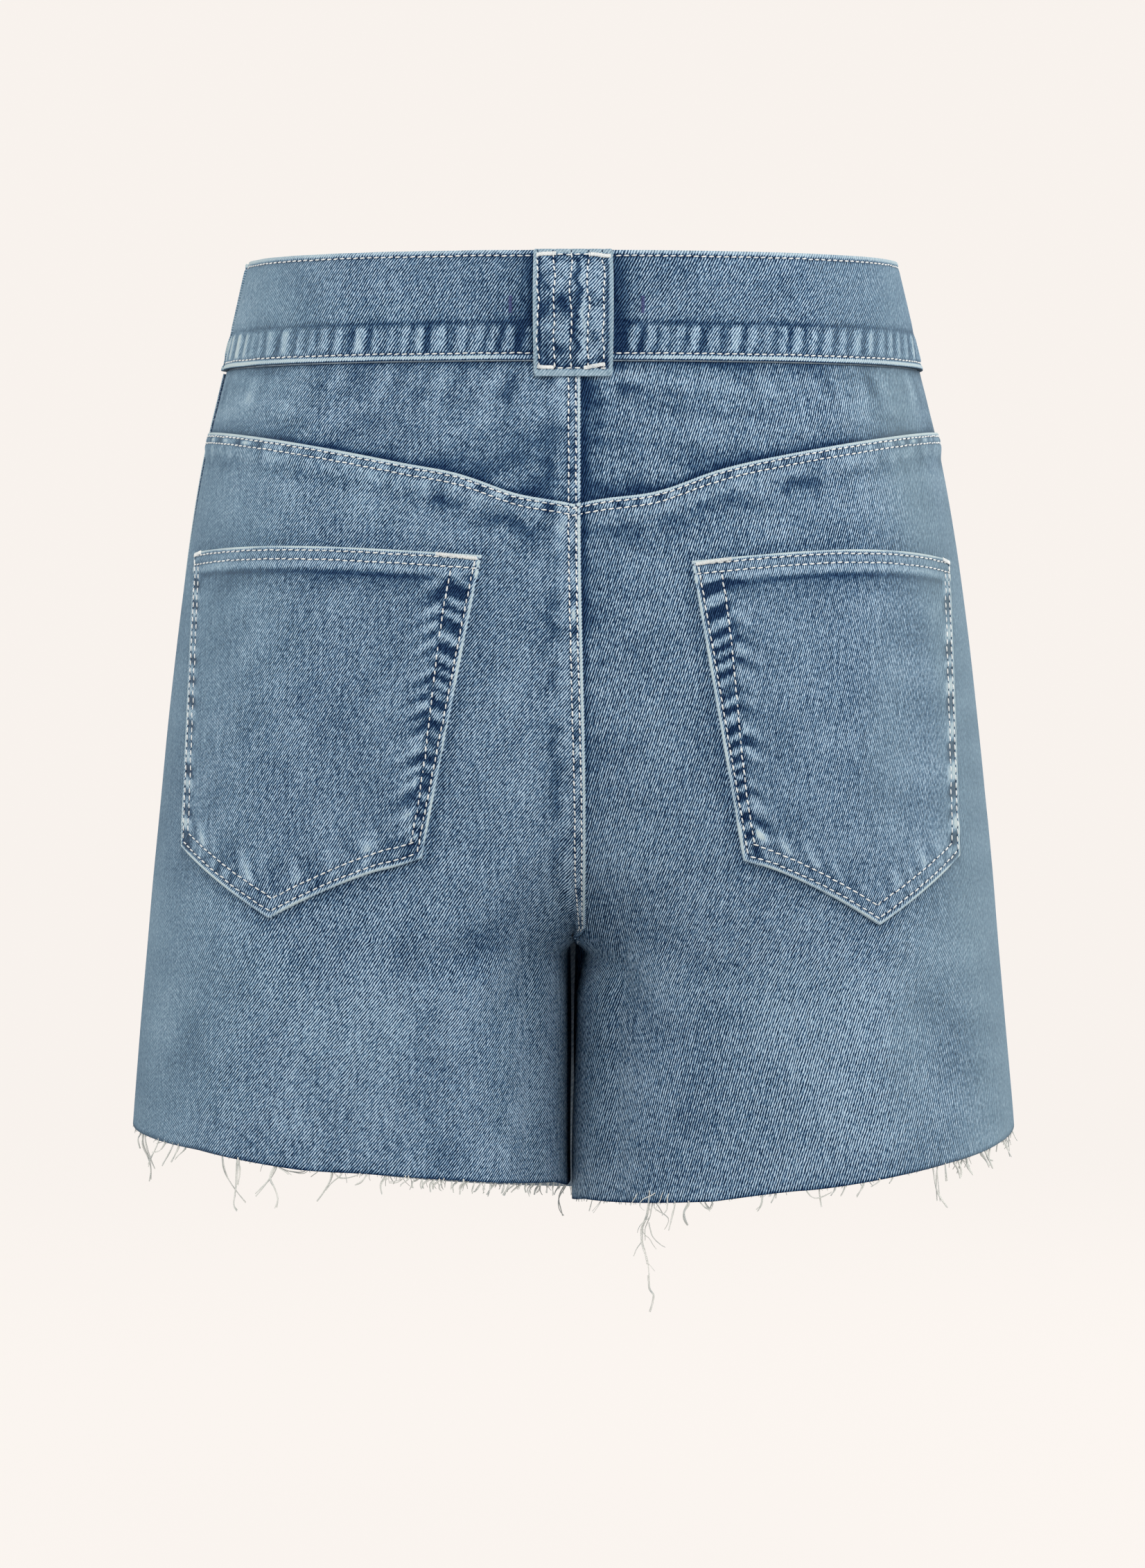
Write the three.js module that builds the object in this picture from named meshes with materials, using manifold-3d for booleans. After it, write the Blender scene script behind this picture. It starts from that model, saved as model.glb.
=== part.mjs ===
// Denim skort: a pair of short shorts with a skirt panel across the front.
// Millimetres, +Z up. The wearer faces -Y and the wearer's left is +X. The origin is the centre of
// the waist opening, half way up the waistband, where the wearer's waist holds the garment.
// Every cloth piece is a closed wall whose face is the outside of the cloth.
import * as THREE from 'three';
import { mergeVertices } from 'three/addons/utils/BufferGeometryUtils.js';
import Module from 'manifold-3d';

const wasm = await Module();
wasm.setup();

// ---- Driving dimensions ----
const SEAM_GAP = 0.3;           // clear space between neighbouring pieces
const DENIM = 1.2;              // wall of one layer of denim
const BAND_HEIGHT = 48;         // waistband, from its top edge to its lower edge
const BAND_RISE = 1.4;          // how far the two-layer waistband stands out from the yoke
const BAND_TOP = BAND_HEIGHT / 2;
const BAND_FOOT = -BAND_HEIGHT / 2;
const FORK = -281;              // where the two legs part
const FRINGE = 10;              // reach of the frayed threads below a hem
const YOKE = { centre: -86.5, rise: 0.27, ease: 0.00033 }; // lower edge of the yoke, rising to the sides
const HEM = {
  side: -361,                   // height of the leg hems at the side seams
  left: { drop: 21, bend: 1.6 }, // how much lower the hem lies at the inseam, and how soon it gets there
  right: { drop: 27, bend: 2.2 },
};

// ---- Form of the garment ----
// Level sections of one half, from the bottom up. The tube of each leg runs from the side seam, at
// width, to the inner edge. Above the fork the inner edge lies past the centre plane, where the tube
// is cut by the centre seams. back and front are the depths behind and before the side seam.
const SECTIONS = [
  { z: -460, width: 200.0, innerLeft: 2.6, innerRight: 0.6, back: 103, front: 100, power: 2.50 },
  { z: -392, width: 198.0, innerLeft: 2.8, innerRight: 1.0, back: 104, front: 100, power: 2.50 },
  { z: -353, width: 195.6, innerLeft: 3.0, innerRight: 2.6, back: 105, front: 100, power: 2.50 },
  { z: -316, width: 192.6, innerLeft: 3.0, innerRight: 4.6, back: 107, front: 101, power: 2.50 },
  { z: -290, width: 190.3, innerLeft: 2.2, innerRight: 3.6, back: 109, front: 102, power: 2.50 },
  { z: -281, width: 189.5, innerLeft: 0.6, innerRight: 0.6, back: 110, front: 102, power: 2.50 },
  { z: -270, width: 188.6, innerLeft: -6, innerRight: -6, back: 111, front: 102, power: 2.49 },
  { z: -250, width: 187.0, innerLeft: -20, innerRight: -20, back: 113, front: 103, power: 2.46 },
  { z: -220, width: 184.2, innerLeft: -43, innerRight: -43, back: 116, front: 103, power: 2.42 },
  { z: -180, width: 180.3, innerLeft: -76, innerRight: -76, back: 118, front: 103, power: 2.36 },
  { z: -140, width: 175.8, innerLeft: -106, innerRight: -106, back: 117, front: 102, power: 2.30 },
  { z: -100, width: 170.4, innerLeft: -131, innerRight: -131, back: 113, front: 101, power: 2.24 },
  { z: -60, width: 163.2, innerLeft: -148, innerRight: -148, back: 107, front: 99, power: 2.18 },
  { z: -24, width: 154.5, innerLeft: -153, innerRight: -153, back: 100, front: 95, power: 2.14 },
  { z: 24, width: 143.2, innerLeft: -143.2, innerRight: -143.2, back: 92, front: 90, power: 2.10 },
];

// The skirt panel hangs clear of both legs in one wide curve. spread and stand are how far it lies
// outside the shorts at the side and at the front.
const SKIRT = [
  { z: -460, spread: 6.0, stand: 25, power: 2.72 },
  { z: -392, spread: 5.5, stand: 24, power: 2.72 },
  { z: -340, spread: 5.2, stand: 22, power: 2.72 },
  { z: -281, spread: 4.9, stand: 19, power: 2.68 },
  { z: -220, spread: 4.6, stand: 16, power: 2.58 },
  { z: -160, spread: 4.3, stand: 12, power: 2.44 },
  { z: -100, spread: 4.0, stand: 8, power: 2.30 },
  { z: -60, spread: 3.5, stand: 5, power: 2.20 },
  { z: -24, spread: 2.9, stand: 2.9, power: 2.14 },
  { z: 24, spread: 2.9, stand: 2.9, power: 2.10 },
];

// A smooth curve through every named column of a table, read at a height.
function columnCurve(rows, columns) {
  const heights = rows.map((row) => row.z);
  const values = rows.flatMap((row) => columns.map((column) => row[column]));
  const curve = new THREE.CubicInterpolant(heights, values, columns.length);
  return (z) => {
    const found = curve.evaluate(z);
    return Object.fromEntries(columns.map((column, index) => [column, found[index]]));
  };
}

const sectionAt = columnCurve(SECTIONS, ['width', 'innerLeft', 'innerRight', 'back', 'front', 'power']);
const skirtAt = columnCurve(SKIRT, ['spread', 'stand', 'power']);

const LEFT = 1;
const RIGHT = -1;
const sideName = (side) => (side === LEFT ? 'left' : 'right');
const signedPower = (value, exponent) => Math.sign(value) * Math.abs(value) ** exponent;

// The tube of one half at a height: its middle, half-width, depths and power.
function tubeAt(side, z) {
  const row = sectionAt(z);
  const inner = side === LEFT ? row.innerLeft : row.innerRight;
  return { ...row, middle: (row.width + inner) / 2, half: (row.width - inner) / 2 };
}

// A point of the shorts' outer face. angle is 0 at the side seam, +90 degrees at the back of the
// tube, -90 at its front, and 180 either way at the inner leg.
function shortsFace(side, angle, z) {
  const tube = tubeAt(side, z);
  const depth = Math.sin(angle) > 0 ? tube.back : tube.front;
  const across = tube.middle + tube.half * signedPower(Math.cos(angle), 2 / tube.power);
  return new THREE.Vector3(side * across, depth * signedPower(Math.sin(angle), 2 / tube.power), z);
}

// A point of the skirt panel's outer face. angle is 0 at the wearer's left side, -90 degrees at the
// centre front and -180 at the wearer's right side.
function skirtFace(angle, z) {
  const row = sectionAt(z);
  const hang = skirtAt(z);
  const across = (row.width + hang.spread) * signedPower(Math.cos(angle), 2 / hang.power);
  const ahead = (row.front + hang.stand) * signedPower(Math.sin(angle), 2 / hang.power);
  return new THREE.Vector3(across, ahead, z);
}

// Moves a point of a face outwards (or inwards, where out is below 0) along the face's normal.
function offFace(face, angle, z, out, turn) {
  const STEP = 0.02;
  const around = face(angle + STEP, z).sub(face(angle - STEP, z));
  const up = face(angle, z + 1).sub(face(angle, z - 1));
  const normal = around.cross(up).normalize().multiplyScalar(turn);
  return face(angle, z).addScaledVector(normal, out);
}

const shortsPoint = (side, angle, z, out) =>
  offFace((a, h) => shortsFace(side, a, h), angle, z, out, side);
const skirtPoint = (angle, z, out) => offFace(skirtFace, angle, z, out, 1);

// The small angle that leaves half a seam's gap beside the side seam or the inseam.
const sideAngle = (depth, power) => Math.asin((SEAM_GAP / 2 / depth) ** (power / 2));

// The angle at which a half-tube stops beside the centre plane, or beside the inseam below the fork.
function innerAngle(side, z) {
  const tube = tubeAt(side, z);
  const clear = SEAM_GAP / 2;
  if (tube.middle - tube.half < clear) {
    return Math.acos(signedPower((clear - tube.middle) / tube.half, tube.power / 2));
  }
  return Math.PI - sideAngle(tube.back, tube.power);
}

// ---- Walls ----
const evenly = (count) => Array.from({ length: count + 1 }, (_, index) => index / count);

function signedVolume(geometry) {
  const corner = [new THREE.Vector3(), new THREE.Vector3(), new THREE.Vector3()];
  const { index } = geometry;
  const { position } = geometry.attributes;
  let total = 0;
  for (let i = 0; i < index.count; i += 3) {
    corner.forEach((point, k) => point.fromBufferAttribute(position, index.getX(i + k)));
    total += corner[0].dot(corner[1].cross(corner[2])) / 6;
  }
  return total;
}

function facesOut(geometry) {
  if (signedVolume(geometry) < 0) {
    const list = geometry.index.array;
    for (let i = 0; i < list.length; i += 3) [list[i], list[i + 1]] = [list[i + 1], list[i]];
  }
  geometry.computeVertexNormals();
  return geometry;
}

// A closed wall: a box one cell thick, whose points are moved to place(across, down, layer).
// layer is 0 on the wearer's side of the cloth and 1 outside.
function clothWall(across, down, place) {
  const columns = across.length - 1;
  const rows = down.length - 1;
  const box = new THREE.BoxGeometry(1, 1, 1, columns, rows, 1);
  box.deleteAttribute('normal');
  box.deleteAttribute('uv');
  const wall = mergeVertices(box);
  const { position } = wall.attributes;
  for (let i = 0; i < position.count; i += 1) {
    const column = Math.round((position.getX(i) + 0.5) * columns);
    const row = Math.round((position.getY(i) + 0.5) * rows);
    const point = place(across[column], down[row], position.getZ(i) > 0 ? 1 : 0);
    position.setXYZ(i, point.x, point.y, point.z);
  }
  return facesOut(wall);
}

const garment = new THREE.Group();
garment.name = 'denim_skort';

const denim = { color: 0x7089a0, roughness: 0.92, metalness: 0 };
function addPiece(name, geometry, look = denim) {
  const piece = new THREE.Mesh(geometry, new THREE.MeshStandardMaterial(look));
  piece.name = name;
  garment.add(piece);
  return piece;
}

// ---- Backs, yoke and fronts ----
const yokeFoot = (x) => YOKE.centre + YOKE.rise * Math.abs(x) - YOKE.ease * x * x;
const bandJoin = BAND_FOOT - SEAM_GAP;

// Height of a leg hem, from the side seam (share 0) to the inseam (share 1).
function hemHeight(side, share) {
  const { drop, bend } = HEM[sideName(side)];
  return HEM.side - drop * (1 - (1 - share) ** bend);
}

// Height of the yoke seam at a share of the way from the side seam to the centre back.
function yokeHeight(side, share) {
  let z = YOKE.centre;
  for (let pass = 0; pass < 4; pass += 1) {
    const tube = tubeAt(side, z);
    const angle = THREE.MathUtils.lerp(sideAngle(tube.back, tube.power), innerAngle(side, z), share);
    z = yokeFoot(shortsFace(side, angle, z).x);
  }
  return z;
}

// A panel of one half between two edges, behind (turn 1) or before (turn -1) the side seam.
// heights are given at the inner edge, and every other column keeps their shares.
function halfPanel(side, turn, columns, heights, topAt, footAt) {
  const [top, foot] = [heights[0], heights.at(-1)];
  const shares = heights.map((z) => (top - z) / (top - foot));
  return clothWall(evenly(columns), shares, (across, down, layer) => {
    const z = THREE.MathUtils.lerp(topAt(across), footAt(across), down);
    const tube = tubeAt(side, z);
    const start = sideAngle(turn > 0 ? tube.back : tube.front, tube.power);
    const angle = THREE.MathUtils.lerp(start, innerAngle(side, z), across);
    return shortsPoint(side, turn * angle, z, layer ? 0 : -DENIM);
  });
}

// Heights of the rows along the centre and the inseam, closest around the fork.
const SEAT_HEIGHTS = [
  -110, -140, -170, -200, -225, -245, -258, -268, -275, -279, FORK, -284, -292, -315, -345,
];

for (const side of [LEFT, RIGHT]) {
  const name = sideName(side);
  const inseamFoot = hemHeight(side, 1);
  const hem = (share) => hemHeight(side, share);
  const backTop = (share) => yokeHeight(side, share) - SEAM_GAP;
  addPiece(`back_${name}`, halfPanel(side, 1, 16, [backTop(1), ...SEAT_HEIGHTS, inseamFoot], backTop, hem));
  addPiece(`yoke_${name}`, halfPanel(side, 1, 12, [bandJoin, -45, -65, yokeHeight(side, 1)],
    () => bandJoin, (share) => yokeHeight(side, share)));
  addPiece(`front_${name}`, halfPanel(side, -1, 14, [bandJoin, -60, ...SEAT_HEIGHTS, inseamFoot],
    () => bandJoin, hem));
}

// ---- Waistband: two halves, joined at the centre back under the loop and at the centre front ----
for (const side of [LEFT, RIGHT]) {
  const wall = clothWall(evenly(24), [0, 0.5, 1], (across, down, layer) => {
    const z = THREE.MathUtils.lerp(BAND_TOP, BAND_FOOT, down);
    const reach = innerAngle(side, z);
    const angle = THREE.MathUtils.lerp(-reach, reach, across);
    return shortsPoint(side, angle, z, layer ? BAND_RISE : -DENIM);
  });
  addPiece(`waistband_${sideName(side)}`, wall);
}

// ---- Patch pockets: five-sided, laid on the backs ----
const POCKET_WALL = 1.4;
const POCKET_LIFT = SEAM_GAP + 0.15; // clear of the facets of the back
// Corners of each pocket on the back: distance from the centre plane and height.
const POCKETS = [
  {
    side: LEFT,
    innerTop: { x: 39, z: -108.5 }, outerTop: { x: 165.5, z: -105.5 }, hemRise: 3,
    innerLow: { x: 65, z: -239 }, tip: { x: 131, z: -265.5 }, outerLow: { x: 170, z: -235 },
  },
  {
    side: RIGHT,
    innerTop: { x: 50.5, z: -111 }, outerTop: { x: 164.3, z: -109 }, hemRise: 4.5,
    innerLow: { x: 73, z: -240 }, tip: { x: 132, z: -268.5 }, outerLow: { x: 167.5, z: -239 },
  },
];

// The angle on the back of a half-tube whose point lies a given way out from the centre plane.
function angleAcross(side, x, z) {
  const tube = tubeAt(side, z);
  return Math.acos(signedPower((x - tube.middle) / tube.half, tube.power / 2));
}

function pocketWall({ side, innerTop, outerTop, hemRise, innerLow, tip, outerLow }) {
  const edgeAngle = (top, low, z) => {
    const share = (top.z - z) / (top.z - low.z);
    return angleAcross(side, THREE.MathUtils.lerp(top.x, low.x, share), z);
  };
  const innerEdge = (z) => edgeAngle(innerTop, innerLow, z);
  const outerEdge = (z) => edgeAngle(outerTop, outerLow, z);
  const tipAngle = angleAcross(side, tip.x, tip.z);
  const tipShare = THREE.MathUtils.inverseLerp(innerEdge(tip.z), outerEdge(tip.z), tipAngle);
  const across = [
    ...evenly(8).map((share) => share * tipShare),
    ...evenly(6).slice(1).map((share) => THREE.MathUtils.lerp(tipShare, 1, share)),
  ];
  return clothWall(across, evenly(9), (share, down, layer) => {
    const top = THREE.MathUtils.lerp(innerTop.z, outerTop.z, share) + hemRise * Math.sin(Math.PI * share);
    const low = share < tipShare
      ? THREE.MathUtils.lerp(innerLow.z, tip.z, share / tipShare)
      : THREE.MathUtils.lerp(tip.z, outerLow.z, (share - tipShare) / (1 - tipShare));
    const z = THREE.MathUtils.lerp(top, low, down);
    const angle = THREE.MathUtils.lerp(innerEdge(z), outerEdge(z), share);
    return shortsPoint(side, angle, z, POCKET_LIFT + (layer ? POCKET_WALL : 0));
  });
}

for (const pocket of POCKETS) addPiece(`pocket_${sideName(pocket.side)}`, pocketWall(pocket));

// ---- Belt loop: a wide strip that bows out from the waistband at the centre back ----
const LOOP = { width: 34, wall: 2.2 };
// How far the strip's underside lies from the shorts' face, from its top end to its foot.
const LOOP_BOW = [
  { z: 23.8, out: 1.7 }, { z: 19.5, out: 1.7 }, { z: 14, out: 5.4 }, { z: 7, out: 7.8 },
  { z: -1, out: 8.4 }, { z: -9, out: 7.6 }, { z: -16, out: 5.4 }, { z: -22.5, out: 2.4 },
  { z: -25.5, out: 1.7 }, { z: -27.5, out: 0.35 }, { z: -31.4, out: 0.35 },
];

// The back face is one smooth curve through the centre plane, read here by distance across it.
function backPoint(x, z, out) {
  const side = x < 0 ? RIGHT : LEFT;
  return shortsPoint(side, angleAcross(side, Math.abs(x), z), z, out);
}

addPiece('belt_loop', clothWall(evenly(6), evenly(LOOP_BOW.length - 1), (across, down, layer) => {
  const row = LOOP_BOW[Math.round(down * (LOOP_BOW.length - 1))];
  const x = (across - 0.5) * LOOP.width;
  return backPoint(x, row.z, row.out + (layer ? LOOP.wall : 0));
}));

// ---- Skirt panel and its band ----
const BAND_WALL = 2.4;
const degrees = THREE.MathUtils.degToRad;
const BUTTON = { angle: degrees(-24), z: 0, head: 8.5, shank: 4, hole: 4.6, rise: 2.8 };

// The panel is sewn in beside the wearer's right side seam, where it lies close on the front, and
// its free edge hangs at the left, further forward lower down.
const SKIRT_SEAM = degrees(-174);
const SKIRT_LEAVES = degrees(-148); // where the panel has left the shorts and hangs free
const skirtEdge = (down) => degrees(-7 - 13 * down);

function skirtPlace(across, edge, z, wall) {
  const angle = THREE.MathUtils.lerp(SKIRT_SEAM, edge, across);
  const hanging = skirtPoint(angle, z, wall);
  if (angle > SKIRT_LEAVES) return hanging;
  const sewn = shortsPoint(RIGHT, -Math.PI - angle, z, 2 * SEAM_GAP + DENIM + wall);
  return sewn.lerp(hanging, THREE.MathUtils.smoothstep(angle, SKIRT_SEAM, SKIRT_LEAVES));
}

// Height of the skirt's hem, lowest at the front and rising to both sides.
const SKIRT_HEM = { side: -364, drop: 32, bend: 1.3 };
const skirtHem = (share) =>
  SKIRT_HEM.side - SKIRT_HEM.drop * Math.sin(Math.PI * share) ** SKIRT_HEM.bend;

const SKIRT_ROWS = [0, 0.1, 0.2, 0.32, 0.44, 0.56, 0.68, 0.8, 0.9, 1];
addPiece('skirt_panel', clothWall(evenly(26), SKIRT_ROWS, (across, down, layer) => {
  const z = THREE.MathUtils.lerp(bandJoin, skirtHem(across), down);
  return skirtPlace(across, skirtEdge(down), z, layer ? 0 : -DENIM);
}));

// The shorts' face at the band, read in one turn from the wearer's right (-180 degrees) by the
// front to the left (0).
function bandCurve(angle, z) {
  const row = sectionAt(z);
  const across = row.width * signedPower(Math.cos(angle), 2 / row.power);
  return new THREE.Vector3(across, row.front * signedPower(Math.sin(angle), 2 / row.power), z);
}

const bandFace = BAND_RISE + SEAM_GAP; // inner face of the skirt's band, off the shorts' face
const BAND_ENDS = { seam: degrees(-170), free: degrees(-6) };
const skirtBand = clothWall(evenly(40), [0, 0.5, 1], (across, down, layer) => {
  const z = THREE.MathUtils.lerp(BAND_TOP, BAND_FOOT, down);
  const angle = THREE.MathUtils.lerp(BAND_ENDS.seam, BAND_ENDS.free, across);
  return offFace(bandCurve, angle, z, bandFace + (layer ? BAND_WALL : 0), 1);
});

const toSolid = (geometry) => new wasm.Manifold(new wasm.Mesh({
  numProp: 3,
  vertProperties: Float32Array.from(geometry.attributes.position.array),
  triVerts: Uint32Array.from(geometry.index.array),
}));

function toGeometry(solid) {
  const { vertProperties, triVerts } = solid.getMesh();
  const geometry = new THREE.BufferGeometry();
  geometry.setAttribute('position', new THREE.BufferAttribute(vertProperties, 3));
  geometry.setIndex(new THREE.BufferAttribute(triVerts, 1));
  geometry.computeVertexNormals();
  return geometry;
}

// Stands a shape that is turned about its own +Z on the band, pointing out from the cloth.
function onBand(geometry) {
  const seat = bandCurve(BUTTON.angle, BUTTON.z);
  const ahead = offFace(bandCurve, BUTTON.angle, BUTTON.z, 1, 1).sub(seat).normalize();
  const turn = new THREE.Quaternion().setFromUnitVectors(new THREE.Vector3(0, 0, 1), ahead);
  return geometry.applyQuaternion(turn).translate(seat.x, seat.y, seat.z);
}

// A closed turned shape from its half outline, given as distance from the axis and height.
function turned(outline, sides) {
  const points = outline.map(({ radius, height }) => new THREE.Vector2(radius, height));
  const lathe = new THREE.LatheGeometry(points, sides);
  lathe.deleteAttribute('normal');
  lathe.deleteAttribute('uv');
  const solid = mergeVertices(lathe, 0.001);
  solid.rotateX(Math.PI / 2);
  return facesOut(solid);
}

const buttonFace = bandFace + BAND_WALL + SEAM_GAP;
const holeCutter = turned([
  { radius: 0, height: -10 }, { radius: BUTTON.hole, height: -10 },
  { radius: BUTTON.hole, height: 20 }, { radius: 0, height: 20 },
], 20);
addPiece('skirt_band', toGeometry(toSolid(skirtBand).subtract(toSolid(onBand(holeCutter)))));

const brass = { color: 0x8a7450, roughness: 0.38, metalness: 1 };
const buttonTop = buttonFace + BUTTON.rise;
addPiece('band_button', onBand(turned([
  { radius: 0, height: bandFace }, { radius: BUTTON.shank, height: bandFace },
  { radius: BUTTON.shank, height: buttonFace }, { radius: BUTTON.head - 1, height: buttonFace },
  { radius: BUTTON.head, height: buttonFace + 0.8 }, { radius: BUTTON.head - 0.7, height: buttonTop - 0.8 },
  { radius: BUTTON.head - 3, height: buttonTop }, { radius: 0, height: buttonTop },
], 28)), brass);

// ---- Frayed hems: plain walls of the reach of the fringe ----
const fringeLook = { color: 0xb9bcb8, roughness: 1, metalness: 0 };
const FRINGE_WALL = 1.6;
for (const side of [LEFT, RIGHT]) {
  const wall = clothWall(evenly(28), [0, 1], (across, down, layer) => {
    const share = 1 - Math.abs(2 * across - 1);
    const top = hemHeight(side, 1 - share) - SEAM_GAP;
    const z = top - down * FRINGE;
    const tube = tubeAt(side, z);
    const reach = Math.PI - sideAngle(tube.front, tube.power);
    const angle = THREE.MathUtils.lerp(-reach, reach, across);
    return shortsPoint(side, angle, z, layer ? 0 : -FRINGE_WALL);
  });
  addPiece(`hem_fringe_${sideName(side)}`, wall, fringeLook);
}

addPiece('skirt_fringe', clothWall(evenly(26), [0, 1], (across, down, layer) => {
  const z = skirtHem(across) - SEAM_GAP - down * FRINGE;
  return skirtPlace(across, skirtEdge(1), z, layer ? 0 : -DENIM);
}), fringeLook);

// ---- Loose threads: one long tuft below the right leg's fringe ----
const TUFT = { x: -33, width: 9, length: 42 };
const tuftAngle = angleAcross(RIGHT, Math.abs(TUFT.x), -390);
const tuftTop = hemHeight(RIGHT, tuftAngle / Math.PI) - SEAM_GAP - FRINGE - SEAM_GAP;
addPiece('loose_threads', clothWall(evenly(2), evenly(5), (across, down, layer) => {
  const z = tuftTop - down * TUFT.length;
  const x = Math.abs(TUFT.x) + (across - 0.5) * TUFT.width;
  return shortsPoint(RIGHT, angleAcross(RIGHT, x, z), z, layer ? 0 : -FRINGE_WALL);
}), fringeLook);

export default garment;
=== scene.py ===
import math

import bmesh
import bpy
import numpy as np
from mathutils import Matrix, Vector


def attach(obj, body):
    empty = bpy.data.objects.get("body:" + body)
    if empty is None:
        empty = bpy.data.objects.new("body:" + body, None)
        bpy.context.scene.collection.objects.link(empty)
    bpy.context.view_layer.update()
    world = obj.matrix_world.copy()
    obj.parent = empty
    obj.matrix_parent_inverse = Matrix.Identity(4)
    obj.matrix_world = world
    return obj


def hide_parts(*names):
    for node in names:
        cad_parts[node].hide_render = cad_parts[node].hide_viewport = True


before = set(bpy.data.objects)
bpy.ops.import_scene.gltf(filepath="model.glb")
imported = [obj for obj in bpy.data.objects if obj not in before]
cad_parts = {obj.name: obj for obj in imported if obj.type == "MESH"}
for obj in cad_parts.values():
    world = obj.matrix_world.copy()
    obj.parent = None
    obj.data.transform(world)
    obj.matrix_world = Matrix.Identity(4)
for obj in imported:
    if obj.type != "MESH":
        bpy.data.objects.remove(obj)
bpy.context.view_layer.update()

# ---- Back panels ----------------------------------------------------------------------------
# Two leg panels of washed stretch denim, each cut in one from the yoke seam to a raw hem. The top
# of each is folded over the yoke and the left one is folded over the right, and both laps are held
# by two rows of pale thread. All heights and lengths are in millimetres, from the waist's centre.
MM = 0.001
SIDES = LEFT, RIGHT = 1, -1  # the wearer's left is +X
DENIM = 1.2  # the cloth's thickness
SEAM_EASE = 0.15  # half the gap between two panels that meet
SIDE_EASE = 0.01  # the same at the side seams, which are drawn tight
SEAT_EASE = 9  # the seat runs level across the centre seam over about this half-width
SEAM_FOOT, LAP_FOOT = -275, -280  # the centre seam's lap narrows to nothing here, at the fork

# Level sections of one half: z, width, inner edge left and right, depth behind and before, power.
SECTIONS = (
    (-460, 200.0, 2.6, 0.6, 103, 100, 2.50),
    (-392, 198.0, 2.8, 1.0, 104, 100, 2.50),
    (-353, 195.6, 3.0, 2.6, 105, 100, 2.50),
    (-316, 192.6, 3.0, 4.6, 107, 101, 2.50),
    (-290, 190.3, 2.2, 3.6, 109, 102, 2.50),
    (-281, 189.5, 0.6, 0.6, 110, 102, 2.50),
    (-270, 188.6, -6, -6, 111, 102, 2.49),
    (-250, 187.0, -20, -20, 113, 103, 2.46),
    (-220, 184.2, -43, -43, 116, 103, 2.42),
    (-180, 180.3, -76, -76, 118, 103, 2.36),
    (-140, 175.8, -106, -106, 117, 102, 2.30),
    (-100, 170.4, -131, -131, 113, 101, 2.24),
    (-60, 163.2, -148, -148, 107, 99, 2.18),
    (-24, 154.5, -153, -153, 100, 95, 2.14),
    (24, 143.2, -143.2, -143.2, 92, 90, 2.10),
)


def sided(name, side):
    return name + ("_left" if side == LEFT else "_right")


def smooth_columns(rows):
    """Smooth curves through a table's columns, read at any heights. z is the first column."""
    table = np.array(rows, float)
    heights, values, last = table[:, 0], table[:, 1:], len(table) - 1

    def read(z):
        z = np.asarray(z, float)
        here = np.clip(np.searchsorted(heights, z, side="right"), 1, last)
        before = np.where(here > 1, here - 2, here)
        after = np.where(here < last, here + 1, here - 1)
        low, high = heights[here - 1], heights[here]
        pull_low = (high - low) / 2 / (low - heights[before])
        pull_high = (high - low) / 2 / (heights[after] - high)
        p = (z - low) / (high - low)
        bend_low, bend_high = 1.5 + 2 * pull_low, 1.5 + pull_high
        weights = (
            (-pull_low * p**3 + 2 * pull_low * p**2 - pull_low * p, before),
            ((1 + pull_low) * p**3 - bend_low * p**2 + (pull_low - 0.5) * p + 1, here - 1),
            (-(1 + pull_high) * p**3 + bend_high * p**2 + 0.5 * p, here),
            (pull_high * (p**3 - p**2), after),
        )
        found = sum(weight[..., None] * values[row] for weight, row in weights)
        return np.moveaxis(found, -1, 0)

    return read


section_at = smooth_columns(SECTIONS)


def signed_power(value, exponent):
    return np.sign(value) * np.abs(value) ** exponent


def smooth_step(value, start, end):
    share = np.clip((value - start) / (end - start), 0, 1)
    return share * share * (3 - 2 * share)


def hump(value, centre, width):
    return np.exp(-(((value - centre) / width) ** 2))


def fading(distance, reach):
    """1 where a distance is 0 or less, and fading as it grows."""
    return np.exp(-np.clip(distance, 0, 90) / reach)


def drift(place, scale, seed):
    """A smooth, uneven run of values, mostly -1 to 1, that turns over about `scale` mm."""
    draw = np.random.default_rng(seed)
    found = 0
    for _ in range(5):
        length, phase = scale * draw.uniform(0.7, 2.2), draw.uniform(0, 2 * np.pi)
        found = found + np.sin(place * 2 * np.pi / length + phase)
    return found / 2.1


def clouds(across, z, scale, seed, stretch=1.0):
    """The same over a face, with patches that are `stretch` times as tall as wide."""
    draw = np.random.default_rng(seed)
    found = 0
    for _ in range(9):
        turn, phase = draw.uniform(0, np.pi), draw.uniform(0, 2 * np.pi)
        length = scale * draw.uniform(0.7, 2.2)
        place = across * np.cos(turn) + z / stretch * np.sin(turn)
        found = found + np.sin(place * 2 * np.pi / length + phase)
    return found / 2.8


def tube_at(side, z):
    width, inner_left, inner_right, back, front, power = section_at(z)
    inner = inner_left if side == LEFT else inner_right
    return (width + inner) / 2, (width - inner) / 2, back, front, power


def around(wide, deep, power, angle, z):
    """A point of a rounded oblong that lies level round the garment."""
    across = wide * signed_power(np.cos(angle), 2 / power)
    ahead = deep * signed_power(np.sin(angle), 2 / power)
    return np.stack(np.broadcast_arrays(across, ahead, z), -1)


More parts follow.
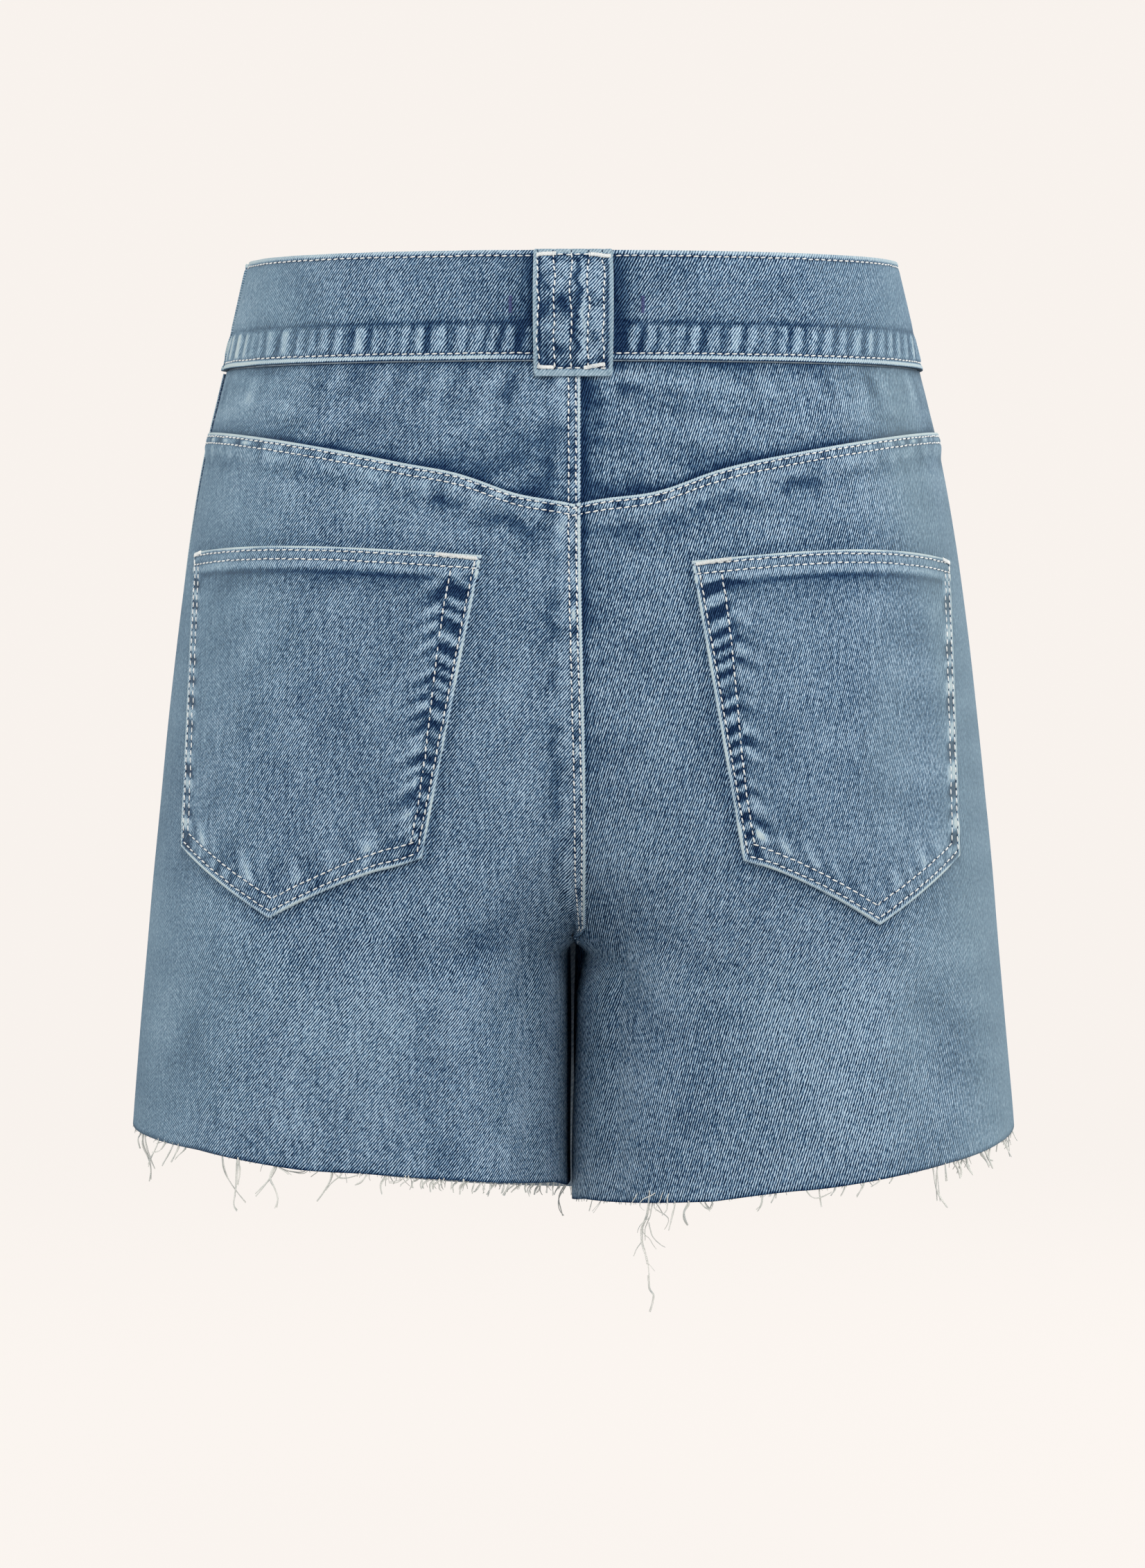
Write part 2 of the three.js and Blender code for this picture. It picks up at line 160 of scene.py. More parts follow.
def leg_point(side, angle, z):
    """A point of the shorts' face. angle is 0 at the side seam, +90 degrees behind, -90 before."""
    middle, half, back, front, power = tube_at(side, z)
    across = middle + half * signed_power(np.cos(angle), 2 / power)
    ahead = signed_power(np.sin(angle), 2 / power)
    ease = SEAT_EASE * smooth_step(z, -275, -235)
    eased = np.sqrt(across**2 + ease**2 * np.exp(-((across / 35) ** 2)))
    inward = np.clip(np.abs((eased - middle) / half), 0, 1)
    level = np.sign(ahead) * (1 - inward**power) ** (1 / power)
    seat = (np.abs(across) < 90) & (z > -276)
    depth = np.where(ahead > 0, back, front) * np.where(seat, level, ahead)
    return np.stack(np.broadcast_arrays(side * across, depth, z), -1)


def angle_across(side, across, z):
    """The angle behind a half where its face lies a given way out from the centre plane."""
    middle, half, _, _, power = tube_at(side, z)
    return np.arccos(np.clip(signed_power((across - middle) / half, power / 2), -1, 1))


def eased_angle(side, z, ease):
    """The angle at which a half's back stands a small ease off the plane of the side seams."""
    _, _, back, _, power = tube_at(side, z)
    return np.arcsin((ease / back) ** (power / 2))


def side_angle(z):
    return eased_angle(LEFT, z, SIDE_EASE)


def centre_angle(side, z, across=SEAM_EASE):
    """The angle at the centre seam, or at the inseam below the fork."""
    middle, half = tube_at(side, z)[:2]
    inseam = np.pi - eased_angle(side, z, SEAM_EASE)
    return np.where(middle - half < across, angle_across(side, across, z), inseam)


def evened(values, reach):
    """Values one mm apart, each averaged with those up to `reach` mm to either side."""
    count = 2 * reach + 1
    return np.convolve(np.pad(values, reach, "edge"), np.ones(count) / count, "valid")


class Face:
    """A face of the garment, measured: a place on it is a length along its level line and a z."""

    def __init__(self, point, begin, end, outward):
        self.point, self.outward = point, outward
        self.heights = np.arange(-470.0, 31.0)
        self.shares = np.linspace(0, 1, 321)
        first, last = begin(self.heights)[:, None], end(self.heights)[:, None]
        turns = first + (last - first) * self.shares
        line = point(turns, self.heights[:, None] + 0 * turns)
        steps = np.linalg.norm(np.diff(line, axis=1), axis=2)
        self.runs = np.concatenate([np.zeros((len(steps), 1)), np.cumsum(steps, axis=1)], axis=1)
        self.ends = self.runs[:, -1]
        self.first, self.last = first[:, 0], last[:, 0]
        self.turns = np.array([np.interp(self.shares * run[-1], run, turn)
                               for run, turn in zip(self.runs, turns)])

    def reach(self, z):
        """The whole length of the level line."""
        return np.interp(z, self.heights, self.ends)

    def spread(self, fixed, share, z):
        """Lengths of columns at fixed + share of the reach. Where the reach grows suddenly at the
        fork, only the last columns take it up."""
        soft = np.interp(z, self.heights, evened(self.ends, 25))
        return fixed + share * soft + (self.reach(z) - soft) * smooth_step(share, 0.8, 1)

    def look_up(self, table, share, z):
        row = np.clip(z - self.heights[0], 0, len(self.heights) - 1.001)
        column = np.clip(share, 0, 1) * (len(self.shares) - 1) * 0.999999
        i, j = row.astype(int), column.astype(int)
        p, q = row - i, column - j
        near = table[i, j] * (1 - q) + table[i, j + 1] * q
        return near * (1 - p) + (table[i + 1, j] * (1 - q) + table[i + 1, j + 1] * q) * p

    def angle(self, length, z):
        return self.look_up(self.turns, length / self.reach(z), z)

    def length(self, angle, z):
        first = np.interp(z, self.heights, self.first)
        last = np.interp(z, self.heights, self.last)
        return self.look_up(self.runs, (angle - first) / (last - first), z)

    def lay(self, angle, z, out=0.0):
        """Points that lie `out` off the face, and the face's normals there."""
        angle, z, out = np.broadcast_arrays(angle, np.asarray(z, float), out)
        step = 0.02
        around = self.point(angle + step, z) - self.point(angle - step, z)
        up = self.point(angle, z + 1) - self.point(angle, z - 1)
        normal = np.cross(around, up) * self.outward
        normal /= np.linalg.norm(normal, axis=-1, keepdims=True)
        return self.point(angle, z) + normal * out[..., None], normal


def grain(face, side, length, z, turn=1):
    """Where each place lies in the weave, which runs straight down at a small way out from the
    centre plane and is eased where the cloth turns in between the legs."""
    straight = 20.0
    beside = angle_across(side, np.full(len(face.heights), straight), face.heights)
    beside = evened(face.length(turn * beside, face.heights), 20)
    past = length - np.interp(z, face.heights, beside)
    across = side * face.point(face.angle(length, z), z)[..., 0]
    turned_in = np.clip(past + across - straight, 0, None) * (past > 0)
    past = past - 0.7 * turned_in * smooth_step(-z, 225, 262)
    return np.stack([side * turn * past, z + 0 * length], -1)


def close_legs(points, side):
    """Moves the insides of the two legs, which stand a little apart at the fork and behind."""
    x, y, z = np.moveaxis(points, -1, 0)
    middle, half = tube_at(side, z)[:2]
    edge, before = np.maximum(middle - half, SEAM_EASE), smooth_step(-y, -5, 25)
    right_gap = np.interp(-z, (281, 290, 301, 325, 375), (5.5, 3.7, 1.6, 1.1, -0.3))
    behind = 2.6 if side == LEFT else right_gap
    pull = (edge - behind - (SEAM_EASE - behind) * before) * smooth_step(-z, 276, 284)
    pull = pull * (1 - smooth_step(side * x - edge, 0, 22))
    return np.stack([x - side * pull, y, z], -1)


def lap_edge(z):
    """Where the left back is folded over the right: how far past the centre plane its edge lies."""
    past = 3.3 + 2.7 * smooth_step(-z, 90, 243)
    return SEAM_EASE - (past + SEAM_EASE) * smooth_step(z, LAP_FOOT, SEAM_FOOT)


back_face = {
    LEFT: Face(lambda a, z: leg_point(LEFT, a, z), side_angle,
               lambda z: centre_angle(LEFT, z, lap_edge(z)), LEFT),
    RIGHT: Face(lambda a, z: leg_point(RIGHT, a, z), side_angle,
                lambda z: centre_angle(RIGHT, z), RIGHT),
}


def spaced(near, far, count):
    """Places along a length that is known later, as fixed + share * length: near its start,
    evenly between, and near its end, where they are measured back from it."""
    near, far = np.array(near, float), np.array(far, float)[::-1]
    even = np.arange(1, count) / count
    fixed = np.concatenate([near, near[-1] * (1 - even) - far[0] * even, -far])
    share = np.concatenate([0 * near, even, 0 * far + 1])
    return fixed, share


def yoke_foot(x):
    """The yoke seam: lowest at the centre back, rising to the sides with a soft wave in each."""
    left_wave = 0.9 * hump(x, 53, 14) - 1.7 * hump(x, 24, 14)
    wave = np.where(x > 0, left_wave, -3.6 * hump(x, -36, 20))
    return -86.5 + 0.27 * np.abs(x) - 0.00033 * x * x + wave


SIDE_HEM = -361  # the height of the hem at the side seams
HEM_LEVEL = -385.0  # about where the hems lie
HEM = {LEFT: (21, 1.6), RIGHT: (27, 2.2)}  # how much lower it is at the inseam, and its bend
HEM_TRIM = {  # how much higher it was cut at shares of the way in from the side seam
    LEFT: ((0, 0.16, 0.3, 0.38, 0.46, 0.6, 0.72, 0.88, 1),
           (3.4, 4.0, 3.8, 2.0, 0.1, -1.0, -1.6, -1.6, -5)),
    RIGHT: ((0, 0.16, 0.3, 0.38, 0.45, 0.51, 0.6, 0.72, 0.88, 1),
            (4.2, 4.7, 3.6, 2.1, 0.4, -1.2, -3.6, -3.3, -2.6, -5)),
}


def hem_height(side, share):
    drop, bend = HEM[side]
    lower = drop * (1 - (1 - np.clip(share, 0, 1)) ** bend)
    return SIDE_HEM - lower + np.interp(share, *HEM_TRIM[side])


def settle(face, fixed, share, start, height_at):
    """The height of a seam at each column, where the height depends on the place and back."""
    z = np.full(len(fixed), float(start))
    for _ in range(6):
        angle = face.angle(face.spread(fixed, share, z), z)
        z = height_at(angle, face.point(angle, z)[:, 0])
    return z


def yoke_seam(face, fixed, share, below=0):
    return settle(face, fixed, share, -70, lambda angle, x: yoke_foot(x) - below)


def raw_hem(side, turn):
    """The hem of a back or a front (turn 1 or -1)."""
    def settled(face, fixed, share):
        return settle(face, fixed, share, HEM_LEVEL,
                      lambda angle, x: hem_height(side, turn * angle / np.pi))

    return settled


# The washed denim: pale worn ribs of twill over dark indigo, streaked by uneven yarns and clouded
# by the wash. The first attribute is paler where the cloth rubs and darker where it is kept from
# rubbing. It also carries painted shade and light: painted shadows beside raised edges and under
# the bands, loop and button, painted shade in stitched grooves and in the fork, and painted light
# in the middle of the fork. The second is the flat, chalky paleness of the sides, part bleaching
# and part painted sheen.
def linear(red, green, blue):
    """A colour given as levels of 0 to 255, in the linear values that a shader takes."""
    found = [level / 255 for level in (red, green, blue)]
    return tuple(c / 12.92 if c <= 0.04045 else ((c + 0.055) / 1.055) ** 2.4 for c in found) + (1,)


class Nodes:
    """A new material's node tree, with short ways to add and join nodes."""

    def __init__(self, name):
        self.material = bpy.data.materials.new(name)
        self.material.use_nodes = True
        self.tree = self.material.node_tree
        self.shader = self.tree.nodes["Principled BSDF"]

    def add(self, kind, inputs=(), **settings):
        node = self.tree.nodes.new("ShaderNode" + kind)
        for name, value in settings.items():
            setattr(node, name, value)
        for name, value in dict(inputs).items():
            self.put(node.inputs[name], value)
        return node

    def put(self, socket, value):
        if isinstance(value, bpy.types.NodeSocket):
            self.tree.links.new(value, socket)
        else:
            socket.default_value = value

    def math(self, operation, *values):
        return self.add("Math", dict(enumerate(values)), operation=operation).outputs[0]

    def sum(self, *terms):
        """terms are (socket, amount): their weighted sum."""
        total = 0.0
        for value, amount in terms:
            total = self.math("MULTIPLY_ADD", value, amount, total)
        return total

    def between(self, value, low, high, least=0.0, most=1.0):
        """A value's way from low to high, as a way from least to most."""
        ends = {"From Min": low, "From Max": high, "To Min": least, "To Max": most}
        return self.add("MapRange", {"Value": value, **ends}).outputs[0]

    def weave(self, lean):
        """The cloth's own place, straight and turned to a lean in degrees."""
        uv = self.add("UVMap", uv_map="cloth").outputs[0]
        turn = (0, 0, -math.radians(lean))
        return uv, self.add("Mapping", {"Vector": uv, "Rotation": turn}).outputs[0]

    def noise(self, place, scale, detail=1.0, stretch=(1, 1, 1), roughness=0.5):
        """Noise about 0 in the cloth's own place, `scale` mm across and drawn out by `stretch`."""
        laid = self.add("Mapping", {"Vector": place, "Scale": stretch}).outputs[0]
        grains = {"Scale": 1 / (scale * MM), "Detail": detail, "Roughness": roughness}
        node = self.add("TexNoise", {"Vector": laid, **grains}, noise_dimensions="2D")
        return self.math("SUBTRACT", node.outputs["Fac"], 0.5)

    def specks(self, scale, detail=2.0):
        """Noise from 0 to 1 through the piece itself, `scale` mm across."""
        place = self.add("TexCoord").outputs["Object"]
        grains = {"Vector": place, "Scale": 1 / (scale * MM), "Detail": detail}
        return self.add("TexNoise", grains).outputs["Fac"]

    def ramp(self, factor, *stops):
        """A colour that changes along stops of (factor, red, green, blue)."""
        node = self.add("ValToRGB", {"Fac": factor})
        elements = node.color_ramp.elements
        for place, *colour in stops[1:-1]:
            elements.new(place).color = linear(*colour)
        for end in (0, -1):
            elements[end].position, elements[end].color = stops[end][0], linear(*stops[end][1:])
        return node.outputs["Color"]

    def finish(self, colour, sockets, height=None, depth=0.0):
        """Joins colour and bump, whose height of 1 stands `depth` mm, and sets plain sockets."""
        self.put(self.shader.inputs["Base Color"], colour)
        for name, value in sockets.items():
            self.put(self.shader.inputs[name], value)
        if depth:
            bump = self.add("Bump", {"Height": height, "Distance": depth * MM, "Strength": 1.0})
            self.put(self.shader.inputs["Normal"], bump.outputs[0])
        return self.material


# The first colour is the sides' chalky bleach, which also stands in for painted sheen.
CHALK_AND_SHEEN, RUBBED = (136, 154, 158), (198, 209, 203)  # the bleached sides, and the most worn places


def denim(name, lean, pitch=1.08, tone=0.0, contrast=1.0, grey=0.3):
    """Washed denim whose twill leans `lean` degrees from the level, `pitch` mm from rib to rib."""
    n = Nodes(name)
    uv, turned = n.weave(lean)
    wear_and_shading, fade_and_sheen = (n.add("Attribute", attribute_name=key).outputs["Fac"] for key in ("wear_and_shading", "fade_and_sheen"))
    twill = {"Scale": 2 * math.pi / (20 * pitch * MM), "Distortion": 1.8, "Detail": 1.5,
             "Detail Scale": 0.9}
    ribs = n.add("TexWave", {"Vector": turned, **twill}, wave_type="BANDS", bands_direction="Y")
    ribs = n.math("SUBTRACT", ribs.outputs["Fac"], 0.5)
    floats = n.noise(turned, 0.8, 1.0, (0.5, 1, 1))
    yarns = n.noise(uv, 0.9, 1.0, (1, 0.05, 1))
    flecks = n.noise(turned, 1.8, 2.0, (0.6, 1, 1), 0.6)
    patches = n.noise(uv, 9, 2.0, (1, 0.8, 1), 0.55)
    wash = n.noise(uv, 55, 2.0)
    fine = n.sum((ribs, 0.85 * contrast), (floats, 0.85 * contrast), (yarns, 0.35 * contrast),
                 (flecks, 0.5 * contrast))
    broad = n.sum((patches, 0.055), (wash, 0.065), (wear_and_shading, 1.0), (fade_and_sheen, 0.07), (1.0, 0.475 + tone))
    broad = n.math("MAXIMUM", broad, 0.16)
    # The weave shows less in the faded sides and in the darkest and palest places.
    kept = n.sum((fade_and_sheen, -0.5), (1.0, 1.0))
    for low, high, least in ((0.14, 0.4, 0.36), (0.88, 0.66, 0.34)):
        kept = n.math("MULTIPLY", kept, n.between(broad, low, high, least))
    factor = n.sum((n.math("MULTIPLY", fine, kept), 1.0), (broad, 1.0))
    colour = n.ramp(factor, (0.0, 2, 16, 42), (0.25, 32, 58, 94), (0.5, 82, 114, 142),
                    (0.75, 143, 172, 194), (1.0, 203, 224, 240))
    # The sides go chalky, part bleaching and part painted sheen, and the most rubbed places go
    # pale.
    rubbed = n.between(broad, 0.7, 0.95, most=0.6)
    for amount, paler in ((n.math("MULTIPLY", fade_and_sheen, grey), CHALK_AND_SHEEN), (rubbed, RUBBED)):
        mix = n.add("Mix", {0: amount, 6: colour, 7: linear(*paler)}, data_type="RGBA")
        colour = mix.outputs[2]
    cloth = {"Roughness": 0.93, "Specular IOR Level": 0.05}
    return n.finish(colour, cloth, n.sum((ribs, 0.8), (floats, 0.5)), 0.14)


def denim_inside(name, lean):
    """The cloth's wrong side, where the undyed weft covers the indigo."""
    n = Nodes(name)
    uv, turned = n.weave(lean)
    ribs = n.noise(turned, 0.6, 1.0, (0.25, 1, 1))
    factor = n.sum((ribs, 0.9), (n.noise(uv, 12, 2.0), 0.35), (1.0, 0.5))
    colour = n.ramp(factor, (0.0, 84, 104, 124), (0.5, 146, 160, 172), (1.0, 206, 212, 214))
    return n.finish(colour, {"Roughness": 0.95, "Specular IOR Level": 0.2}, ribs, 0.12)


def specked(name, noises, lift, stops, sockets, depth):
    """A material coloured by noises of (mm across, detail, amount). The first is also its bump."""
    n = Nodes(name)
    found = [n.specks(scale, detail) for scale, detail, _ in noises]
    factor = n.sum(*((one, noise[2]) for one, noise in zip(found, noises)), (1.0, lift))
    return n.finish(n.ramp(factor, *stops), sockets, found[0], depth)


left_denim = denim("denim_left", 51, 1.0, 0.025)
right_denim = denim("denim_right", 71, 1.05, 0.01, 1.05, 0.45)
leg_denim = {LEFT: left_denim, RIGHT: right_denim}
inner_denim = denim_inside("denim_inside", 125)
# A raw cut through the cloth: dark warp ends and pale weft ends, side by side.
raw_edge = specked("raw_edge", ((0.8, 1.0, 1.0),), 0.0, (
    (0.3, 26, 44, 78), (0.5, 70, 96, 128), (0.72, 188, 198, 206)),
    {"Roughness": 0.95, "Specular IOR Level": 0.2}, 0.2)


def placed(name, data):
    """A new object, in the scene."""
    made = bpy.data.objects.new(name, data)
    bpy.context.scene.collection.objects.link(made)
    return made


def show(name, mesh, node_names, materials):
    """Puts a finished mesh in the scene, riding on the garment in place of its CAD nodes."""
    piece = placed(name, mesh)
    for material in materials:
        mesh.materials.append(material)
    mesh.polygons.foreach_set("use_smooth", np.ones(len(mesh.polygons), bool))
    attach(piece, "root")
    if node_names:
        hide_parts(*node_names)
    return piece


def cloth_sheet(name, points, uv, wear_and_shading, fade_and_sheen, materials, thickness=DENIM, flip=False, rounded=0.0):
    """A piece of cloth: rows run down it and columns to the right, seen from outside. The face
    given is the outside, and the wall's thickness goes inwards."""
    if flip:
        points, uv, wear_and_shading, fade_and_sheen = (values[:, ::-1] for values in (points, uv, wear_and_shading, fade_and_sheen))
    rows, columns = points.shape[:2]
    bm = bmesh.new()
    bmesh.ops.create_grid(bm, x_segments=columns - 1, y_segments=rows - 1, size=0.5)
    mesh = bpy.data.meshes.new(name + "_cloth")
    bm.to_mesh(mesh)
    bm.free()
    grid = np.empty(len(mesh.vertices) * 3)
    mesh.vertices.foreach_get("co", grid)
    grid = grid.reshape(-1, 3) / np.ptp(grid.reshape(-1, 3)[:, 0])
    column = np.rint((grid[:, 0] + 0.5) * (columns - 1)).astype(int)
    row = np.rint((0.5 - grid[:, 1]) * (rows - 1)).astype(int)
    mesh.vertices.foreach_set("co", (points[row, column] * MM).ravel())
    corner = np.empty(len(mesh.loops), int)
    mesh.loops.foreach_get("vertex_index", corner)
    layer = mesh.uv_layers.new(name="cloth")
    layer.data.foreach_set("uv", (uv[row, column] * MM)[corner].ravel())
    for title, values in (("wear_and_shading", wear_and_shading), ("fade_and_sheen", fade_and_sheen)):
        attribute = mesh.attributes.new(title, "FLOAT", "POINT")
        attribute.data.foreach_set("value", np.ascontiguousarray(values[row, column]))
    mesh.update()
    piece = show(name + "_cloth", mesh, [name], materials)
    wall = piece.modifiers.new("wall", "SOLIDIFY")
    wall.thickness, wall.offset = thickness * MM, -1
    wall.material_offset, wall.material_offset_rim = 1, 2
    if rounded:
        fold = piece.modifiers.new("fold", "BEVEL")
        fold.width, fold.segments, fold.limit_method = rounded * MM, 2, "ANGLE"
        fold.angle_limit = math.radians(60)
        fold.material = 0
    return piece


def plateau(distance, start, top, end, foot):
    """1 between `top` and `end`, and 0 outside `start` and `foot`."""
    return smooth_step(distance, start, top) * (1 - smooth_step(distance, end, foot))


def round_fold(edge, radius):
    return np.sqrt(1 - (1 - np.clip(edge / radius, 0, 1)) ** 2)


def stitched_lap(edge, along, rows, seed, height=1.5):
    """Height and colour of a folded lap, from the distance in from its folded edge and the place
    along it: round at the fold, drawn down at each row and darker there with painted shade in the
    row's groove, puckered and rubbed unevenly."""
    first, last = rows
    away = 1 - smooth_step(edge, last + 0.5, last + 8)
    pull = sum(hump(edge, row, 0.75) for row in rows)
    between = hump(edge, (first + last) / 2, (last - first) / 2.6)
    below = smooth_step(edge, last, last + 2) * fading(edge - last, 6.5)
    patches, ripples = drift(along, 8.5, seed), drift(along, 6.5, seed + 1)
    rise = height * round_fold(edge, 1.2) * away - 0.34 * pull
    rise += 0.16 * (patches * between + ripples * below)
    wear_and_shading = 0.48 * plateau(edge, 0.1, 0.5, 1.2, 1.75) - 0.19 * pull
    wear_and_shading += (0.22 * patches + 0.05) * between + 0.09 * ripples * below
    wear_and_shading += (0.09 + 0.06 * drift(along, 17, seed + 2)) * hump(edge, last + 3.4, 2.2)
    shelter = hump(edge, last + 8.5 + 1.5 * patches, 2.6)
    wear_and_shading -= (0.10 + 0.07 * drift(along, 26, seed + 4)) * shelter
    return rise, wear_and_shading


def side_fade_and_sheen(points):
    """How far the sides are bleached and given a painted sheen: from none two thirds of the way out
    to full at the seam.
    """
    x, y, z = np.moveaxis(points, -1, 0)
    out = np.abs(x) / section_at(z)[0]
    return smooth_step(out + 0.04 * clouds(x + y, z, 60, 5, 2.5), 0.66, 0.99)


# Patches of the backs: the middle (across and up), half the width and height, how much paler.
BACK_BLOTS = (
    (30, -93, 13, 5, -0.16), (55, -86, 9, 4, -0.12), (18, -103, 9, 6, -0.10),
    (10, -97, 5, 8, 0.10), (8, -130, 4, 9, -0.12), (11, -160, 3, 7, 0.10), (8, -146, 3, 5, 0.10),
    (46, -101, 9, 4, 0.07), (-52, -84, 12, 4, 0.10), (-44, -96, 9, 5, -0.14),
    (-75, -86, 12, 4, -0.12), (-9, -135, 6, 10, -0.10), (-22, -101, 10, 6, -0.07),
    (-8, -205, 5, 26, -0.06), (9, -205, 5, 24, -0.05), (32, -140, 18, 28, -0.05),
)
# Soft creases of the backs: where each begins and ends (across and up), its width and its height.
BACK_CREASES = (
    (14, -262, 70, -292, 9, -1.3), (10, -272, 38, -318, 8, -1.2), (12, -236, 60, -252, 8, 0.8),
    (30, -150, 60, -100, 14, 0.7), (150, -290, 176, -350, 13, -1.1),
    (120, -300, 128, -372, 18, 0.8), (60, -310, 52, -378, 16, -0.9), (90, -285, 96, -340, 15, 0.7),
    (172, -150, 176, -240, 7, -0.8),
)


def creases(table, across, z, seed):
    """Soft troughs and ridges along straight runs, fading out towards both ends."""
    found = 0 * z
    for x0, z0, x1, z1, width, height in table:
        length = math.hypot(x1 - x0, z1 - z0)
        ux, uz = (x1 - x0) / length, (z1 - z0) / length
        along = ((across - x0) * ux + (z - z0) * uz) / length
        off = (across - x0) * uz - (z - z0) * ux
        off = off + 0.12 * width * drift(along * length, 30, seed + 3)
        found = found + height * plateau(along, -0.25, 0.3, 0.7, 1.25) * hump(off, 0, width)
    return found


def blots(table, x, z, seed):
    """Darker and paler patches with uneven edges."""
    x, z = x + 0.9 * clouds(x, z, 7, seed + 1), z + 0.9 * clouds(x, z, 6, seed + 2)
    found = 0
    for middle, level, wide, tall, paler in table:
        away = np.abs((x - middle) / wide) ** 3 + np.abs((z - level) / tall) ** 3
        found = found + paler * np.exp(-0.9 * away)
    return found


# Corners of each patch pocket: distance from the centre plane and height.
POCKETS = {
    LEFT: dict(inner_top=(39, -108.5), outer_top=(165.5, -105.5), rise=3,
               inner_low=(65, -239), tip=(131, -265.5), outer_low=(170, -235)),
    RIGHT: dict(inner_top=(50.5, -111), outer_top=(164.3, -109), rise=4.5,
                inner_low=(73, -240), tip=(132, -268.5), outer_low=(167.5, -239)),
}
FOOT_LEVELS = 0.93, 0.85  # the cosines of the two foot edges' slopes


class Pocket:
    """A pocket's outline on its back: a place is a share of its width and a height."""

    def __init__(self, side):
        self.side, self.face, self.cut = side, back_face[side], POCKETS[side]
        tip, low = self.cut["tip"]
        self.tip_share = self.share(angle_across(side, tip, low), low)

    def edge_angle(self, edge, z):
        (x0, z0), (x1, z1) = self.cut[edge + "_top"], self.cut[edge + "_low"]
        return angle_across(self.side, x0 + (x1 - x0) * (z0 - z) / (z0 - z1), z)

    def top(self, share):
        z0, z1 = self.cut["inner_top"][1], self.cut["outer_top"][1]
        return z0 + (z1 - z0) * share + self.cut["rise"] * np.sin(np.pi * np.clip(share, 0, 1))

    def low(self, share):
        heights = [self.cut[name][1] for name in ("inner_low", "tip", "outer_low")]
        return np.interp(share, (0, self.tip_share, 1), heights)

    def foot_level(self, share):
        return np.where(share < self.tip_share, *FOOT_LEVELS)

    def angle(self, share, z):
        inner, outer = self.edge_angle("inner", z), self.edge_angle("outer", z)
        return inner + (outer - inner) * share

    def share(self, angle, z):
        inner, outer = self.edge_angle("inner", z), self.edge_angle("outer", z)
        return (angle - inner) / (outer - inner)

    def depths(self, angle, z):
        """How far in a place lies from the inner side, outer side, foot and top edges."""
        share = self.share(angle, z)
        here = self.face.length(angle, z)
        inner = self.face.length(self.edge_angle("inner", z), z) - here
        outer = here - self.face.length(self.edge_angle("outer", z), z)
        foot = (z - self.low(share)) * self.foot_level(share)
        return inner * 0.98, outer, foot, self.top(share) - z


pockets = {side: Pocket(side) for side in SIDES}
YOKE_ROWS, CENTRE_ROWS = (2.1, 5.2), (2.1, 5.3)
SEAM_STEPS = (0, 0.5, 1.2, 2.2, 3.6, 5.2)
LAP_STEPS = (0, 0.35, 0.8, 1.3, 1.8, 2.4, 3.1, 3.9, 4.6, 5.3, 6.0, 6.8, 7.8, 9.0, 10.5, 12, 14)
HEM_STEPS = (0, 0.4, 1.0, 1.9, 3.2)


def centre_lap(face, side, length, z):
    """Height and colour beside the centre back seam: the left side is folded over the right.
    Towards the fork the left's rubbed paleness is taken out, as painted shade, and the right is
    darker beside the lap's edge, a painted shadow with faint patches.
    """
    edge = face.reach(z) - length
    there = smooth_step(z, LAP_FOOT, SEAM_FOOT)
    if side == LEFT:
        rise, wear_and_shading = stitched_lap(edge, z, CENTRE_ROWS, 21)
        return rise * there, wear_and_shading * smooth_step(z, SEAM_FOOT, -268)
    # Painted shadow of the left's folded edge on the right back, with faint patches.
    lap_shadow_and_mottle = 0.05 * drift(z, 9, 25) * hump(edge, 11, 6) - 0.26 * hump(edge, 3.8, 2.6) - 0.06
    return 0 * z, lap_shadow_and_mottle * there * np.exp(-edge / 40)


